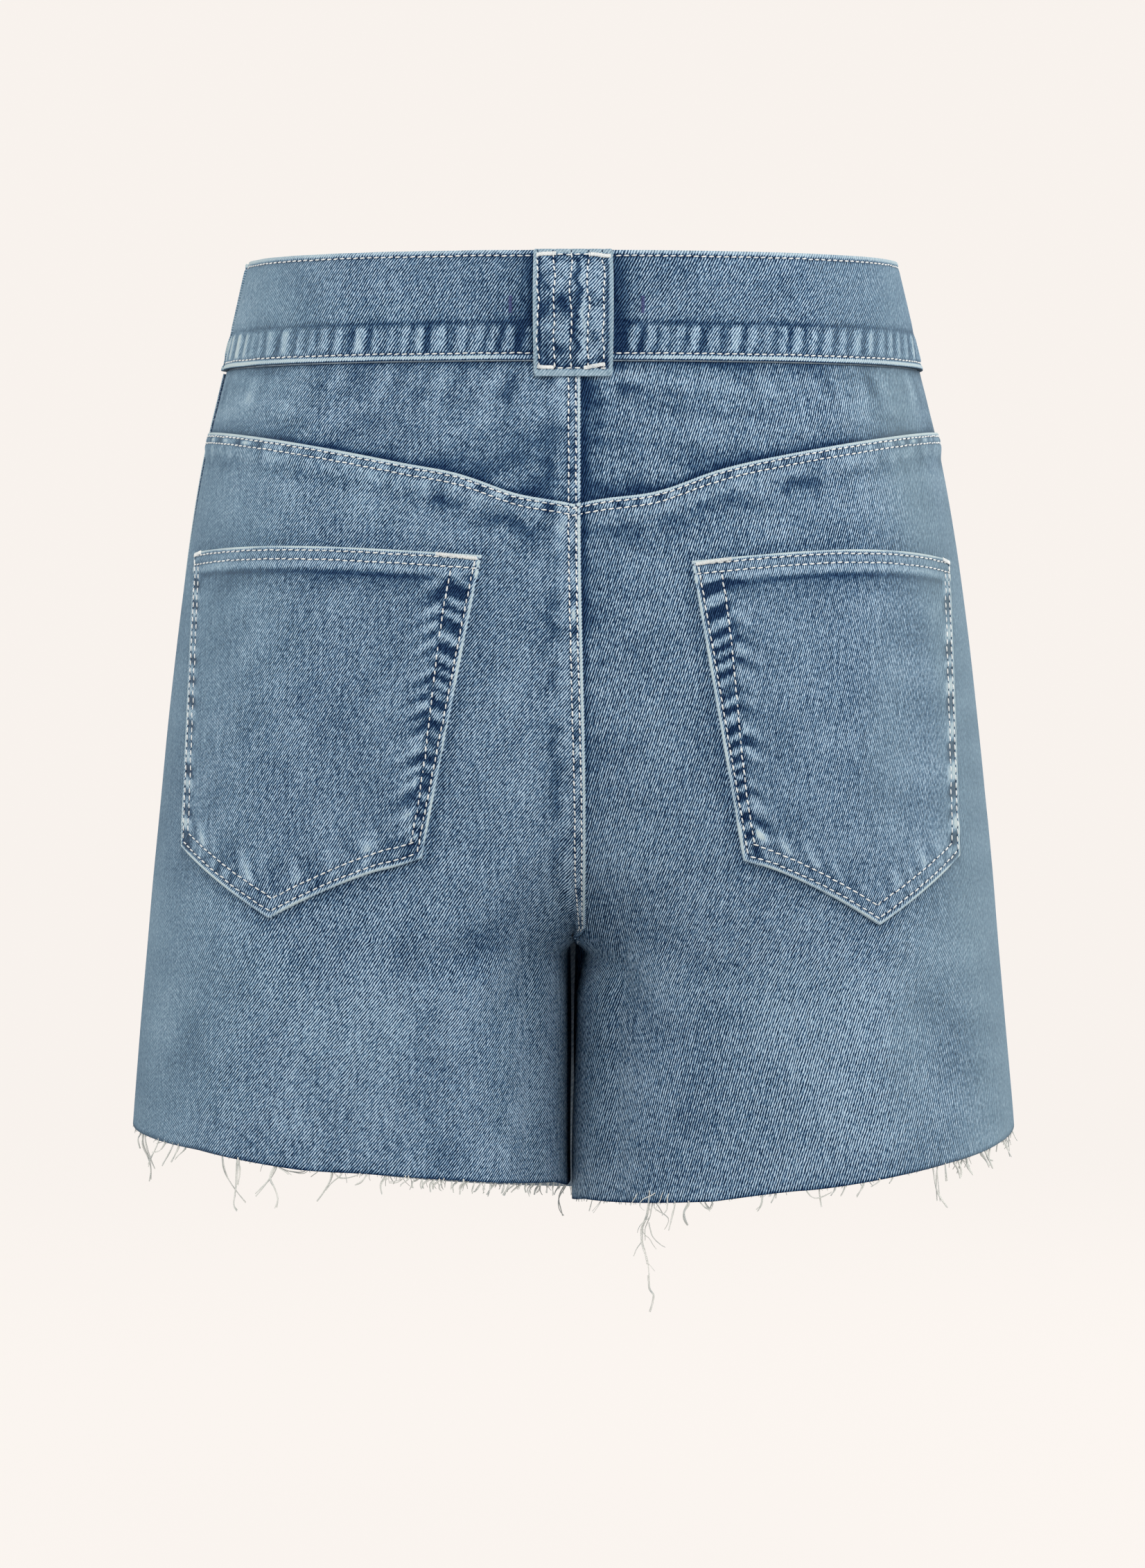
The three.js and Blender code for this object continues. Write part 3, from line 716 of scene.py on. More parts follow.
def back_relief(side, angle, z):
    """How far the back stands off its face, and its colour from rubbing and washing, with painted
    shadow, shade and light.
    """
    face = back_face[side]
    x = face.point(angle, z)[..., 0]
    length, across, down = face.length(angle, z), np.abs(x), yoke_foot(x) - z
    seam = face.reach(z) - length
    rise, wear_and_shading = stitched_lap(down, length, YOKE_ROWS, 31 + side)
    lap_rise, lap_wear_and_shade = centre_lap(face, side, length, z)
    outside = np.clip(-np.minimum.reduce(pockets[side].depths(angle, z)), 0, 60)
    inside = 1 - smooth_step(outside, 0.5, 4)
    folds = creases(BACK_CREASES, across, z, side) + 0.22 * clouds(x, z, 46, 40 + side, 1.6)
    rise += 0.12 + lap_rise - 0.5 * hump(length, 0, 1.6)
    rise += folds * (1 - inside) * smooth_step(down, 4, 22) * smooth_step(length, 2, 30)

    # The cloth is darker close round the pocket, where a painted shadow of its edge lies over
    # darker, less rubbed indigo, a little darker under the pocket, and darker along the hem. Where
    # it turns in to the fork it is painted lighter near the centre plane, against the shade that
    # falls there, and painted darker towards the inseam, as shade.
    pocket_shadow_and_dye = 0.34 * np.exp(-outside / 1.5) + 0.10 * np.exp(-outside / 6)
    wear_and_shading += lap_wear_and_shade - pocket_shadow_and_dye * (1 - inside) - 0.10 * inside
    wash = 0.03 * clouds(x, z, 24, 50 + side) + 0.85 * blots(BACK_BLOTS, x, z, 51)
    wear_and_shading += wash * smooth_step(outside, 3, 8)
    wear_and_shading -= 0.30 * hump(z, hem_height(side, angle / np.pi) + 0.2, 1.0)
    turned_in = 0.20 * np.exp(-across / 14) - 0.34 * np.exp(-seam / 24)
    wear_and_shading += turned_in * smooth_step(-z, 258, 290)
    if side == LEFT:
        wear_and_shading += 0.06 * hump(across, 88, 40) * hump(z, -320, 34) - 0.015 * smooth_step(-z, 205, 245)
    else:
        wear_and_shading += 0.08 * hump(across, 120, 30) * hump(z, -318, 45)
        wear_and_shading -= 0.05 * hump(across, 24, 22) * smooth_step(-z, 285, 315)
    wear_and_shading += 0.04 * hump(folds, 0.8, 0.7) - 0.07 * smooth_step(-folds, 0.3, 1.3)
    return rise, wear_and_shading


def panel_places(face, columns, rows, top, low):
    """The length, angle and height of each place of a panel, in columns and rows that are spaced
    as `spaced` takes them, between a top and a low edge that are read as `yoke_seam` is."""
    fixed, share = spaced(*columns)
    row_fixed, row_share = spaced(*rows)
    top, low = (edge(face, fixed, share) for edge in (top, low))
    z = top - row_fixed[:, None] - row_share[:, None] * (top - low)
    length = face.spread(fixed, share, z)
    return length, face.angle(length, z), z


def leg_panel(kind, side, face, turn, places, relief):
    """One of the shorts' panels, behind or before (turn 1 or -1). Relief is its rise and its colour
    from rubbing, with painted shade and light.
    """
    length, angle, z = places
    rise, wear_and_shading = relief
    points = close_legs(face.lay(angle, z, rise)[0], side)
    return cloth_sheet(sided(kind, side), points, grain(face, side, length, z, turn), wear_and_shading,
                       side_fade_and_sheen(points), (leg_denim[side], inner_denim, raw_edge),
                       flip=turn * side == RIGHT)


seat_rows = np.concatenate([LAP_STEPS, np.arange(16.2, 172, 2.2), np.arange(172, 201, 1.1)])
for side, face in back_face.items():
    places = panel_places(face, (SEAM_STEPS, LAP_STEPS, 112), (seat_rows, HEM_STEPS, 40),
                          yoke_seam, raw_hem(side, 1))
    back = leg_panel("back", side, face, 1, places, back_relief(side, *places[1:]))
    sided("yoke", side)


# The thread is a thick pale cotton, laid in stitches of about 3.4 mm that dip through the cloth at
# each needle hole, where a small dark blob is painted shade. Each row is given by places on its
# seam and the way out from the cloth there.
STITCH, HOLE_SHADE, TACK = (1.24, 0.38, 0.36), (0.55, 0.40, 0.20), (0.92, 0.30, 0.36)


def level(vectors):
    return vectors / np.linalg.norm(vectors, axis=1, keepdims=True)


def stitch_shape(half_sizes, segments, rings):
    bm = bmesh.new()
    bmesh.ops.create_uvsphere(bm, u_segments=segments, v_segments=rings, radius=1)
    bmesh.ops.rotate(bm, verts=bm.verts, matrix=Matrix.Rotation(math.pi / 2, 3, "Y"))
    bmesh.ops.triangulate(bm, faces=bm.faces)
    corners = np.array([vert.co for vert in bm.verts])
    corners[:, 0] = signed_power(corners[:, 0], 0.6)
    faces = np.array([[vert.index for vert in face.verts] for face in bm.faces])
    bm.free()
    return corners * half_sizes, faces


def stations(places, normals, run, at):
    """The place, the way ahead and the way out at each distance along a row."""
    def read(values, where):
        return np.stack([np.interp(where, run, values[:, axis]) for axis in range(3)], -1)

    out = level(read(normals, at))
    ahead = level(read(places, at + 0.8) - read(places, at - 0.8))
    ahead = level(ahead - out * np.sum(ahead * out, axis=1, keepdims=True))
    return read(places, at), ahead, out


def sew(name, rows, seed, pitch=3.4, stitch=STITCH, tack=False):
    """Joined stitches along rows of (places, normals), with a small dark blob of painted shade at
    each needle hole. Those of a tack lie side by side instead, across the row, and have no such
    blobs."""
    draw = np.random.default_rng(seed)
    stitches, hole_shades = [], []
    for places, normals in rows:
        run = np.linalg.norm(np.diff(places, axis=0), axis=1)
        run = np.concatenate([[0], np.cumsum(run)])
        count = max(int(round(run[-1] / pitch)), 1)
        step = run[-1] / count
        place, ahead, out = stations(places, normals, run, (np.arange(count) + 0.5) * step)
        across = np.cross(out, ahead)
        tilt = draw.normal(0 if tack else 0.09, 0.05, count)[:, None]
        place += across * draw.normal(0, 0.08, count)[:, None]
        ahead = level(across + ahead * tilt) if tack else level(ahead + across * tilt)
        stitches.append((place + out * 0.12, ahead, out))
        place, ahead, out = stations(places, normals, run, np.arange(count + 1) * step)
        hole_shades.append((place - out * 0.02, ahead, out))
    corners, faces, dark = np.empty((0, 3)), np.empty((0, 3), int), []
    layers = ((stitch_shape(stitch, 6, 4), stitches), (stitch_shape(HOLE_SHADE, 5, 3), hole_shades))
    for is_shade, ((shape, shape_faces), frames) in enumerate(layers[:1] if tack else layers):
        places, ahead, out = (np.concatenate(part) for part in zip(*frames))
        axes = np.stack([ahead, np.cross(out, ahead), out], 1)
        numbers = len(corners) + np.arange(len(places))[:, None, None] * len(shape) + shape_faces
        corners = np.concatenate([corners, (places[:, None] + shape @ axes).reshape(-1, 3)])
        faces = np.concatenate([faces, numbers.reshape(-1, 3)])
        dark += [is_shade] * (numbers.size // 3)
    mesh = bpy.data.meshes.new(name)
    mesh.from_pydata(corners * MM, [], faces)
    mesh.polygons.foreach_set("material_index", dark)
    return show(name, mesh, (), (thread_look, needle_hole_shade))


thread_look = specked("pale_thread", ((0.35, 1.0, 0.45), (7, 2.0, 0.9)), -0.15, (
    (0.2, 184, 196, 204), (0.45, 232, 234, 232), (0.75, 250, 250, 246)),
    {"Roughness": 0.8, "Sheen Weight": 0.2}, 0.15)
# Painted shade: the dark of each needle hole where the thread dips in.
needle_hole_shade = specked("needle_hole_shade", ((3, 1.0, 1.0),), 0.0, (
    (0.3, 14, 26, 50), (0.5, 26, 42, 72), (0.7, 58, 80, 112)),
    {"Roughness": 1.0, "Specular IOR Level": 0.1}, 0.0)


def yoke_seam_row(side, below):
    face = back_face[side]
    share = np.linspace(0.002, 0.995, 260)
    z = yoke_seam(face, 0 * share, share, below)
    angle = face.angle(share * face.reach(z), z)
    return face.lay(angle, z, back_relief(side, angle, z)[0])


def centre_row(relief, edge, top, low):
    face = back_face[LEFT]
    z = np.arange(top, low, -1.0)
    angle = face.angle(face.reach(z) - edge, z)
    return face.lay(angle, z, relief(LEFT, angle, z)[0])


sew("thread_yoke_seams", [yoke_seam_row(side, row) for side in SIDES for row in YOKE_ROWS], 3)
sew("thread_seat_seam", [centre_row(back_relief, row, -87.5, -272.5) for row in CENTRE_ROWS], 4)

# ---- Yokes ----------------------------------------------------------------------------------
# Two shaped pieces of the same denim between the waistband and the backs. They run on under the
# laps of the backs, and the left one is folded over the right at the centre back.
BAND_TOP, BAND_FOOT = 24, -24
BAND_JOIN = -24.3  # where the panels begin, just below the band
YOKE_STEPS = (0, 2.5, 5, 6.4, 7.2, 8.2, 9.4, 11)  # rows of the yoke, up from its foot
UNDER_LAP = 7  # how far the yoke runs on under the backs
# Creases and patches of the yokes, given as those of the backs.
YOKE_CREASES = (
    (148, -40, 96, -52, 5, 0.8), (152, -50, 104, -60, 5, -0.7), (60, -34, 24, -40, 5, 0.6),
    (120, -34, 150, -31, 4, 0.7), (40, -58, 80, -52, 7, 0.5), (22, -44, 44, -66, 6, -0.5),
)
YOKE_BLOTS = (
    (8, -42, 7, 10, 0.15), (12, -63, 15, 9, -0.15), (34, -70, 14, 6, -0.10),
    (14, -80, 12, 4, -0.10), (62, -62, 16, 6, -0.08), (40, -50, 14, 7, 0.05),
    # The pale patch at (-27, -31) is a painted highlight, a streak just under the waistband.
    (90, -52, 18, 6, -0.05), (-27, -31, 11, 2.2, 0.22), (-24, -37, 8, 3, -0.16),
    (-8, -60, 5, 26, -0.13), (-46, -38, 9, 3, -0.08), (-60, -68, 16, 5, -0.10),
    (-24, -79, 15, 4, -0.10), (-80, -34, 22, 3, 0.07),
)


def yoke_relief(side, angle, z):
    face = back_face[side]
    x = face.point(angle, z)[..., 0]
    length, above = face.length(angle, z), z - yoke_foot(x)
    rise, wear_and_shading = centre_lap(face, side, length, z)
    folds = creases(YOKE_CREASES, np.abs(x), z, side) + 0.15 * clouds(x, z, 24, 60 + side, 0.6)
    held = smooth_step(above, 1, 10) * smooth_step(-z, 24, 34) * smooth_step(length, 2, 24)
    rise = rise + folds * held - 0.5 * hump(length, 0, 1.6)
    wear_and_shading += 0.05 * clouds(x, z, 17, 70 + side, 0.6) + 0.85 * blots(YOKE_BLOTS, x, z, 71)
    wear_and_shading += 0.06 * hump(folds, 0.6, 0.5)
    # Painted shadows: darker just above the yoke seam, beside the folded edge of the back, and just
    # under the waistband's lower edge.
    wear_and_shading -= 0.36 * fading(above, 2.2) + 0.26 * np.exp((z - BAND_FOOT) / 2.4)
    wear_and_shading += 0.09 * drift(length, 12, 72 + side) * hump(z, -34, 7) - 0.03
    if side == LEFT:
        wear_and_shading += 0.10 * smooth_step(x, 125, 160) - 0.03
    return rise, wear_and_shading


def joined(*columns):
    """A panel's top edge, level along the waistband."""
    return BAND_JOIN


for side, face in back_face.items():
    places = panel_places(face, (SEAM_STEPS, LAP_STEPS, 100), ((0, 1, 2, 3.2), YOKE_STEPS, 30),
                          joined, lambda *columns: yoke_seam(*columns) - UNDER_LAP)
    yoke = leg_panel("yoke", side, face, 1, places, yoke_relief(side, *places[1:]))
    sided("waistband", side)
sew("thread_yokes", [centre_row(yoke_relief, row, -31.0, -87.0) for row in CENTRE_ROWS], 5)

# ---- Front panels ---------------------------------------------------------------------------
# The two fronts of the shorts, of the same denim and plain under the skirt panel. They are sewn
# in at the sides and the centre and run from the waistband to the raw hems.
front_face = {
    side: Face(lambda a, z, side=side: leg_point(side, a, z), lambda z: -side_angle(z),
               lambda z, side=side: -centre_angle(side, z), side)
    for side in SIDES
}
FRONT_CREASES = (
    (12, -262, 66, -288, 10, -1.4), (10, -240, 70, -252, 9, 1.0), (14, -285, 40, -340, 9, -1.0),
    (90, -280, 96, -350, 18, 0.9), (150, -290, 160, -352, 14, -1.0),
)


def front_relief(side, length, angle, z):
    face, hem = front_face[side], z[-1]
    x, seam = face.point(angle, z)[..., 0], face.reach(z) - length
    folds = creases(FRONT_CREASES, np.abs(x), z, side + 8) + 0.3 * clouds(x, z, 46, 80 + side, 1.6)
    rise = folds * smooth_step(length, 2, 26) * smooth_step(-z, 24, 60) * smooth_step(seam, 0, 12)
    rise -= 0.5 * hump(length, 0, 1.6) + 0.5 * hump(seam, 0, 1.6)
    wear_and_shading = 0.06 * clouds(x, z, 24, 82 + side) - 0.30 * hump(z, hem + 0.2, 1.0)
    # Painted shade: darker towards the inseam, in the recess between the legs at the fork.
    wear_and_shading -= 0.5 * hump(seam, 0, 60) * smooth_step(-z, 262, 300)
    return rise, wear_and_shading


front_rows = np.concatenate([(0, 1.5), np.arange(4.5, 225, 4.0), np.arange(225, 264, 2.0)])
for side, face in front_face.items():
    places = panel_places(face, (SEAM_STEPS, SEAM_STEPS, 70), (front_rows, HEM_STEPS, 26),
                          joined, raw_hem(side, -1))
    front = leg_panel("front", side, face, -1, places, front_relief(side, *places))
    sided("waistband", side)

# ---- Waistband ------------------------------------------------------------------------------
# Two halves of doubled denim, joined at the centre back under the loop and at the centre front.
# Each is folded over the top of the shorts and stitched down along both edges, which ropes it
# into short worn ridges above the lower row.
BAND_RISE, BAND_WALL = 1.4, 2.6
BAND_ROWS = (2.4, 45.0)  # rows of stitches, down from the top edge
ROPING = (33.2, 44.0)  # where the worn ridges run, down from the top edge
BAND_STEPS, BAND_ENDS = (0, 1.0, 1.5, 2.0, 2.4, 2.9, 3.5, 4.4), (0, 1.2, 3)
BAND_LOW_STEPS = (0, 0.25, 0.6, 1.2, 1.7, 2.2, 2.7, 3.2, 3.8)
ROPED_ROWS = np.arange(30.5, 44.0, 1.1)
LOOP_SIDE = 17  # how far out from the centre plane the belt loop reaches
band_denim = denim("denim_band", 57)
waist_face = {
    side: Face(lambda a, z, side=side: leg_point(side, a, z),
               lambda z, side=side: -centre_angle(side, z),
               lambda z, side=side: centre_angle(side, z), side)
    for side in SIDES
}


def band_relief(down, place, seed, lean=1):
    """Height and colour of a stitched-down band, from the distance below its top edge: rubbed
    ridges and edges, painted shade in the rows and in the groove above the ridges, and a painted
    shadow along the lower edge.
    """
    pull = sum(hump(down, row, 0.75) for row in BAND_ROWS)
    ropes = place + 0.14 * lean * down
    bars = np.sin(2 * np.pi * ropes / 7.7 + 1.1 * drift(ropes, 34, seed))
    bars = bars + 0.25 * drift(ropes, 4.2, seed + 3)
    bars = np.tanh(2.6 * bars) * (0.85 + 0.25 * drift(ropes, 19, seed + 2))
    roped = plateau(down, ROPING[0] - 1.2, ROPING[0] + 1, ROPING[1] - 1, 45.3)
    rise = 0.30 * hump(down, 46.9, 0.9) + 0.14 * hump(down, 1.0, 0.8) - 0.34 * pull
    rise = rise + 0.34 * bars * roped - 0.25 * hump(down, ROPING[0] - 2, 2.0)
    rise = rise + 0.12 * drift(place, 30, seed + 1)
    wear_and_shading = 0.36 * plateau(down, 45.7, 46.1, 47.5, 47.9) - 0.26 * pull
    # The pale top edge is rubbing; the dark line at the lower edge is a painted shadow.
    wear_and_shading = wear_and_shading + 0.30 * (1 - smooth_step(down, 1.3, 1.9)) - 0.9 * hump(down, 48.3, 0.5)
    wear_and_shading = wear_and_shading + (0.21 * bars + 0.01) * roped - 0.22 * hump(down, ROPING[0] - 1.6, 1.4)
    return rise, wear_and_shading


def make_waistband(side):
    face = waist_face[side]
    upper = np.concatenate([BAND_STEPS, np.arange(6.5, 30.0, 2.6), ROPED_ROWS])
    length, angle, z = panel_places(
        face, (BAND_ENDS, BAND_ENDS, 236), (upper, BAND_LOW_STEPS, 2),
        lambda face, fixed, share: BAND_TOP + 0 * share, lambda *columns: BAND_FOOT)
    x = face.point(angle, z)[..., 0]
    rise, wear_and_shading = band_relief(BAND_TOP - z, length - face.reach(z), 90 + side, side)
    # A painted shadow of the belt loop: the band is darker beside the loop, on the back half.
    beside = np.clip(np.abs(x) - LOOP_SIDE, 0, 90)
    wear_and_shading = wear_and_shading - (0.21 * hump(beside, 0, 7) + 0.10 * np.exp(-beside / 12)) * (angle > 0)
    wear_and_shading = wear_and_shading + 0.035 * clouds(x, z, 26, 92 + side, 0.6)
    wear_and_shading = wear_and_shading + (0.08 + 0.06 * side) * smooth_step(np.abs(x), 132, 148)
    points, _ = face.lay(angle, z, BAND_RISE + rise)
    piece = cloth_sheet(sided("waistband", side), points, grain(face, side, length, z), wear_and_shading,
                        side_fade_and_sheen(points), (band_denim, inner_denim, band_denim),
                        thickness=BAND_WALL, flip=side == RIGHT, rounded=0.8)
    sided("yoke", side)
    sided("front", side)


def waistband_row(side, down):
    face = waist_face[side]
    share = np.linspace(0.002, 0.998, 500)
    z = BAND_TOP - down + 0 * share
    rise, _ = band_relief(down, (share - 1) * face.reach(z), 90 + side, side)
    return face.lay(face.angle(share * face.reach(z), z), z, BAND_RISE + rise)


for side in SIDES:
    make_waistband(side)
sew("thread_waistband", [waistband_row(side, row) for side in SIDES for row in BAND_ROWS], 6)


# Two small tacks of blue thread beside the loop.
def small_tack(x):
    side = LEFT if x > 0 else RIGHT
    z = np.linspace(4, -3.5, 12)
    return waist_face[side].lay(angle_across(side, abs(x), z), z, BAND_RISE + 0.1)


blue_look = specked("blue_thread", ((0.4, 2.0, 1.0),), 0.0, (
    (0.35, 52, 58, 112), (0.5, 78, 88, 142), (0.7, 116, 126, 170)), {"Roughness": 0.85}, 0.15)
tacks = sew("thread_blue_tacks", [small_tack(27), small_tack(-30)], 7, pitch=0.55,
            stitch=(0.85, 0.26, 0.3), tack=True)
tacks.data.materials[0] = blue_look

# ---- Patch pockets --------------------------------------------------------------------------
# Five-sided pieces of the same denim, hemmed along the top and laid on the backs, with their raw
# edges turned under and held by two rows of stitches round the sides and foot. Tacks hold the
# top corners.
POCKET_OUT, POCKET_WALL = 1.85, 1.4
POCKET_SPAN = 140  # about its width, for the places of its columns
TOP_ROWS, FOOT_ROWS, OUTER_ROWS = (2.1, 6.0), (3.0, 8.0), (2.0, 6.0)
INNER_ROW = 2.8
HEM_MARK = 11.0  # the edge of the turned hem, showing through below the opening
pocket_denim = {
    LEFT: denim("denim_pocket_left", 56, 0.93, -0.008),
    RIGHT: denim("denim_pocket_right", 73, 0.9, 0.01, 0.97, 0.5),
}


def second_row(z):
    """The inner side's second row, which runs closer to the edge lower down."""
    return 12.3 - 6.0 * smooth_step(-z, 118, 225)


def drawn(distance, rows):
    return sum(hump(distance, row, 0.7) for row in rows)


def pocket_relief(pocket, angle, z):
    inner, outer, foot, top = pocket.depths(angle, z)
    side, second = pocket.side, second_row(z)
    length = pocket.face.length(angle, z)
    edge = np.minimum.reduce((inner, outer, foot, top))
    lower = smooth_step(top, 8, 10)
    pulls = drawn(top, TOP_ROWS) + drawn(foot, FOOT_ROWS) * (inner > 3) * (outer > 2)
    upright = drawn(inner, (INNER_ROW, second)) + drawn(outer, OUTER_ROWS)
    pulls = np.clip(pulls + upright * (foot > 3) * smooth_step(top, 4, 7), 0, 1)

    # Puckers: across the inner strip and past its second row, along the outer one, and in and
    # above the foot.
    run = -z - 110 + 0.45 * inner
    turns = run / 6.4 - 2 * (1 - np.exp(-run / 25))
    bars = np.sin(2 * np.pi * turns + 1.2 * drift(run, 30, 110 + side))
    bars = np.tanh(2.4 * (bars + 0.5 * drift(run, 6, 111 + side) - 0.1))
    bars_in = bars * plateau(inner, 1.6, 3.0, second - 0.4, second + 1.2)
    bars_in = bars_in * smooth_step(foot, 5, 9) * lower
    puckers = np.clip(1.2 * drift(z + 0.5 * inner, 8.5, 109 + side), -0.8, 1.1)
    puckers = puckers * smooth_step(inner, second + 0.4, second + 1.6) * hump(inner, second, 8)
    puckers = puckers * smooth_step(foot, 6, 14) * lower
    bars_out = np.tanh(2.0 * drift(z + 0.3 * outer, 11.0, 112 + side))
    bars_out = bars_out * plateau(outer, 1.6, 2.6, 6, 11) * lower
    bars_foot = np.clip(drift(length + 0.35 * z * side, 11.0, 114 + side), -0.5, 1.3) * lower
    bars_foot = bars_foot * smooth_step(foot, 8.2, 9.4) * hump(np.clip(foot - 9, 0, 90), 0, 8.5)
    rows_foot = drift(length - 0.5 * z, 6.0, 116 + side) * hump(foot, 5.5, 2.2)

    rise = 0.35 * hump(edge, 1.0, 0.9) - 1.5 * (1 - round_fold(edge, 1.3)) - 0.36 * pulls
    rise = rise + 0.32 * (bars_in + puckers) + 0.18 * bars_out + 0.22 * bars_foot
    rise = rise - 0.34 * hump(top, HEM_MARK, 1.6) + 0.16 * hump(top, HEM_MARK - 3, 2.2)
    rise = rise + 0.25 * clouds(length, z, 34, 120 + side) * smooth_step(edge, 12, 30)
    cord = plateau(edge, 0.1, 0.4, 1.2, 1.7)
    strip_in = plateau(inner, 1.6, 3.0, second - 0.6, second + 6)
    # Darker along the stitched rows: painted shade in their grooves.
    wear_and_shading = (0.44 + 0.08 * drift(z + length, 21, 118 + side)) * cord - 0.20 * pulls
    wear_and_shading = wear_and_shading + 0.30 * bars_in + 0.33 * puckers + 0.34 * bars_out + 0.22 * bars_foot
    wear_and_shading = wear_and_shading + 0.03 * hump(foot, 12, 5) * lower + 0.14 * rows_foot - 0.07 * strip_in * lower
    wear_and_shading = wear_and_shading - 0.24 * hump(top, HEM_MARK + 0.2, 1.5) + 0.13 * hump(top, 8.4, 1.6)
    wear_and_shading = wear_and_shading + 0.05 * (1 - smooth_step(top, 9, 11)) - 0.10 * hump(top, HEM_MARK + 4, 4)
    return rise, wear_and_shading + 0.03 * clouds(length, z, 22, 122 + side)


def lay_pocket(pocket, angle, z):
    rise, wear_and_shading = pocket_relief(pocket, angle, z)
    return *pocket.face.lay(angle, z, POCKET_OUT + rise), wear_and_shading


def make_pocket(side):
    pocket = pockets[side]
    near = np.array((0, 0.4, 0.9, 1.5, 2.1, 2.7, 3.4, 4.3, 5.3, 6.3, 7.5, 9, 10.5, 12))
    near, tip = near / POCKET_SPAN, pocket.tip_share
    share = np.concatenate([near, np.linspace(near[-1], tip, 36)[1:],
                            np.linspace(tip, 1 - near[-1], 28)[1:-1], 1 - near[::-1]])
    row_fixed, row_share = spaced(
        (0, 0.4, 0.9, 1.5, 2.1, 2.7, 3.4, 4.4, 5.4, 6.2, 7.2, 8.4, 9.6, 10.6, 11.6, 12.8, 14.5),
        (0, 0.4, 0.9, 1.5, 2.2, 3.0, 3.8, 4.8, 6, 7.2, 8.2, 9.2, 11, 13), 60)
    top, low = pocket.top(share), pocket.low(share)
    z = top - row_fixed[:, None] - row_share[:, None] * (top - low)
    angle = pocket.angle(share + 0 * z, z)
    points, _, wear_and_shading = lay_pocket(pocket, angle, z)
    cloth = grain(pocket.face, side, pocket.face.length(angle, z), z)
    piece = cloth_sheet(sided("pocket", side), points, cloth, wear_and_shading, 0.9 * side_fade_and_sheen(points),
                        (pocket_denim[side], inner_denim, pocket_denim[side]),
                        thickness=POCKET_WALL, flip=side == LEFT)
    sided("back", side)


def pocket_rows(side):
    """The top edge's rows, then those of the inner and outer sides, then the foot's."""
    pocket, rows = pockets[side], []

    def add(angle, z, kept=slice(None)):
        rows.append(lay_pocket(pocket, angle[kept], z[kept])[:2])

    along = np.linspace(0.004, 0.996, 200)
    for row in TOP_ROWS:
        z = pocket.top(along) - row
        add(pocket.angle(along, z), z)
    z = np.arange(-107.0, -262.0, -0.8)
    for turn, edge, distances in ((1, "inner", (INNER_ROW, second_row(z))),
                                  (-1, "outer", OUTER_ROWS)):
        for distance, above, below in zip(distances, FOOT_ROWS, (2.6, 6.5)):
            length = pocket.face.length(pocket.edge_angle(edge, z), z) - turn * distance
            angle = pocket.face.angle(length, z)
            _, _, foot, top = pocket.depths(angle, z)
            add(angle, z, (foot > above) & (top > below))
    for row, past_inner, past_outer in zip(FOOT_ROWS, (INNER_ROW, 4.5), OUTER_ROWS):
        z = pocket.low(along) + row / pocket.foot_level(along)
        angle = pocket.angle(along, z)
        inner, outer, foot, _ = pocket.depths(angle, z)
        add(angle, z, (inner > past_inner) & (outer > past_outer) & (foot > row - 0.4))
    return rows


def corner_tack(side, share, step):
    pocket = pockets[side]
    way = np.linspace(0, 1, 14)
    along = share + step * way
    z = pocket.top(along) - 1.9 + 0.9 * way
    return pocket.face.lay(pocket.angle(along, z), z, POCKET_OUT + 0.15)


# The tacks of the top corners: where each starts and how far it runs, as shares of the width.
TACK_RUNS = (0.010, 0.094), (0.990, -0.06)
for side in SIDES:
    make_pocket(side)
sew("thread_pockets", [row for side in SIDES for row in pocket_rows(side)], 8)
sew("thread_pocket_tacks", [corner_tack(side, *run) for side in SIDES for run in TACK_RUNS], 9,
    pitch=0.55, stitch=TACK, tack=True)

# ---- Belt loop ------------------------------------------------------------------------------
# One wide loop at the centre back: a folded strip with five rows of stitches along it, tacked to
# the top of the waistband and just below it. It bows out between, so that a belt passes under.
LOOP_HALF, LOOP_WALL = 17.0, 2.2
LOOP_TOP, LOOP_FOOT = 23.9, -31.4
LOOP_ROWS = (15.0, 8.1, 1.0, -6.3, -12.9)  # across, from the centre plane
# Height, and how far the strip's underside lies from the shorts' face.
LOOP_BOW = (
    (-31.4, 0.45), (-28.5, 0.5), (-25.5, 1.7), (-22.5, 2.5), (-16, 4.8), (-9, 6.4), (-1, 7.0),
    (7, 6.6), (14, 4.7), (19.5, 2.1), (22, 1.7), (24, 1.7),
)
# Patches of the loop, given as those of the backs.
LOOP_BLOTS = (
    (12.3, 9.5, 1.9, 5, -0.34), (11.6, -3, 3, 5.4, -0.36), (4.3, -1, 3.4, 6.6, -0.42),
    (-1.8, 10, 1.6, 11, -0.36), (-1.3, -13, 1.6, 13.5, -0.38), (11.8, -20, 3, 6.4, -0.30),
    (4.7, -21.4, 3.1, 3, -0.36), (4.8, 12, 1.2, 2, -0.2), (-10.3, -1, 2, 2.8, -0.24),
    (-7.2, 3, 1.6, 2.6, -0.2), (-9.4, -14.8, 2.8, 1.6, -0.22), (0, 18.9, 15, 0.9, -0.3),
    (-9.5, -25.6, 6, 1.5, -0.26), (8, -25.8, 7, 1, -0.2), (-4.3, -4, 0.9, 22, 0.16),
)
loop_bow = smooth_columns(LOOP_BOW)
loop_denim = denim("denim_loop", 50, contrast=1.05)


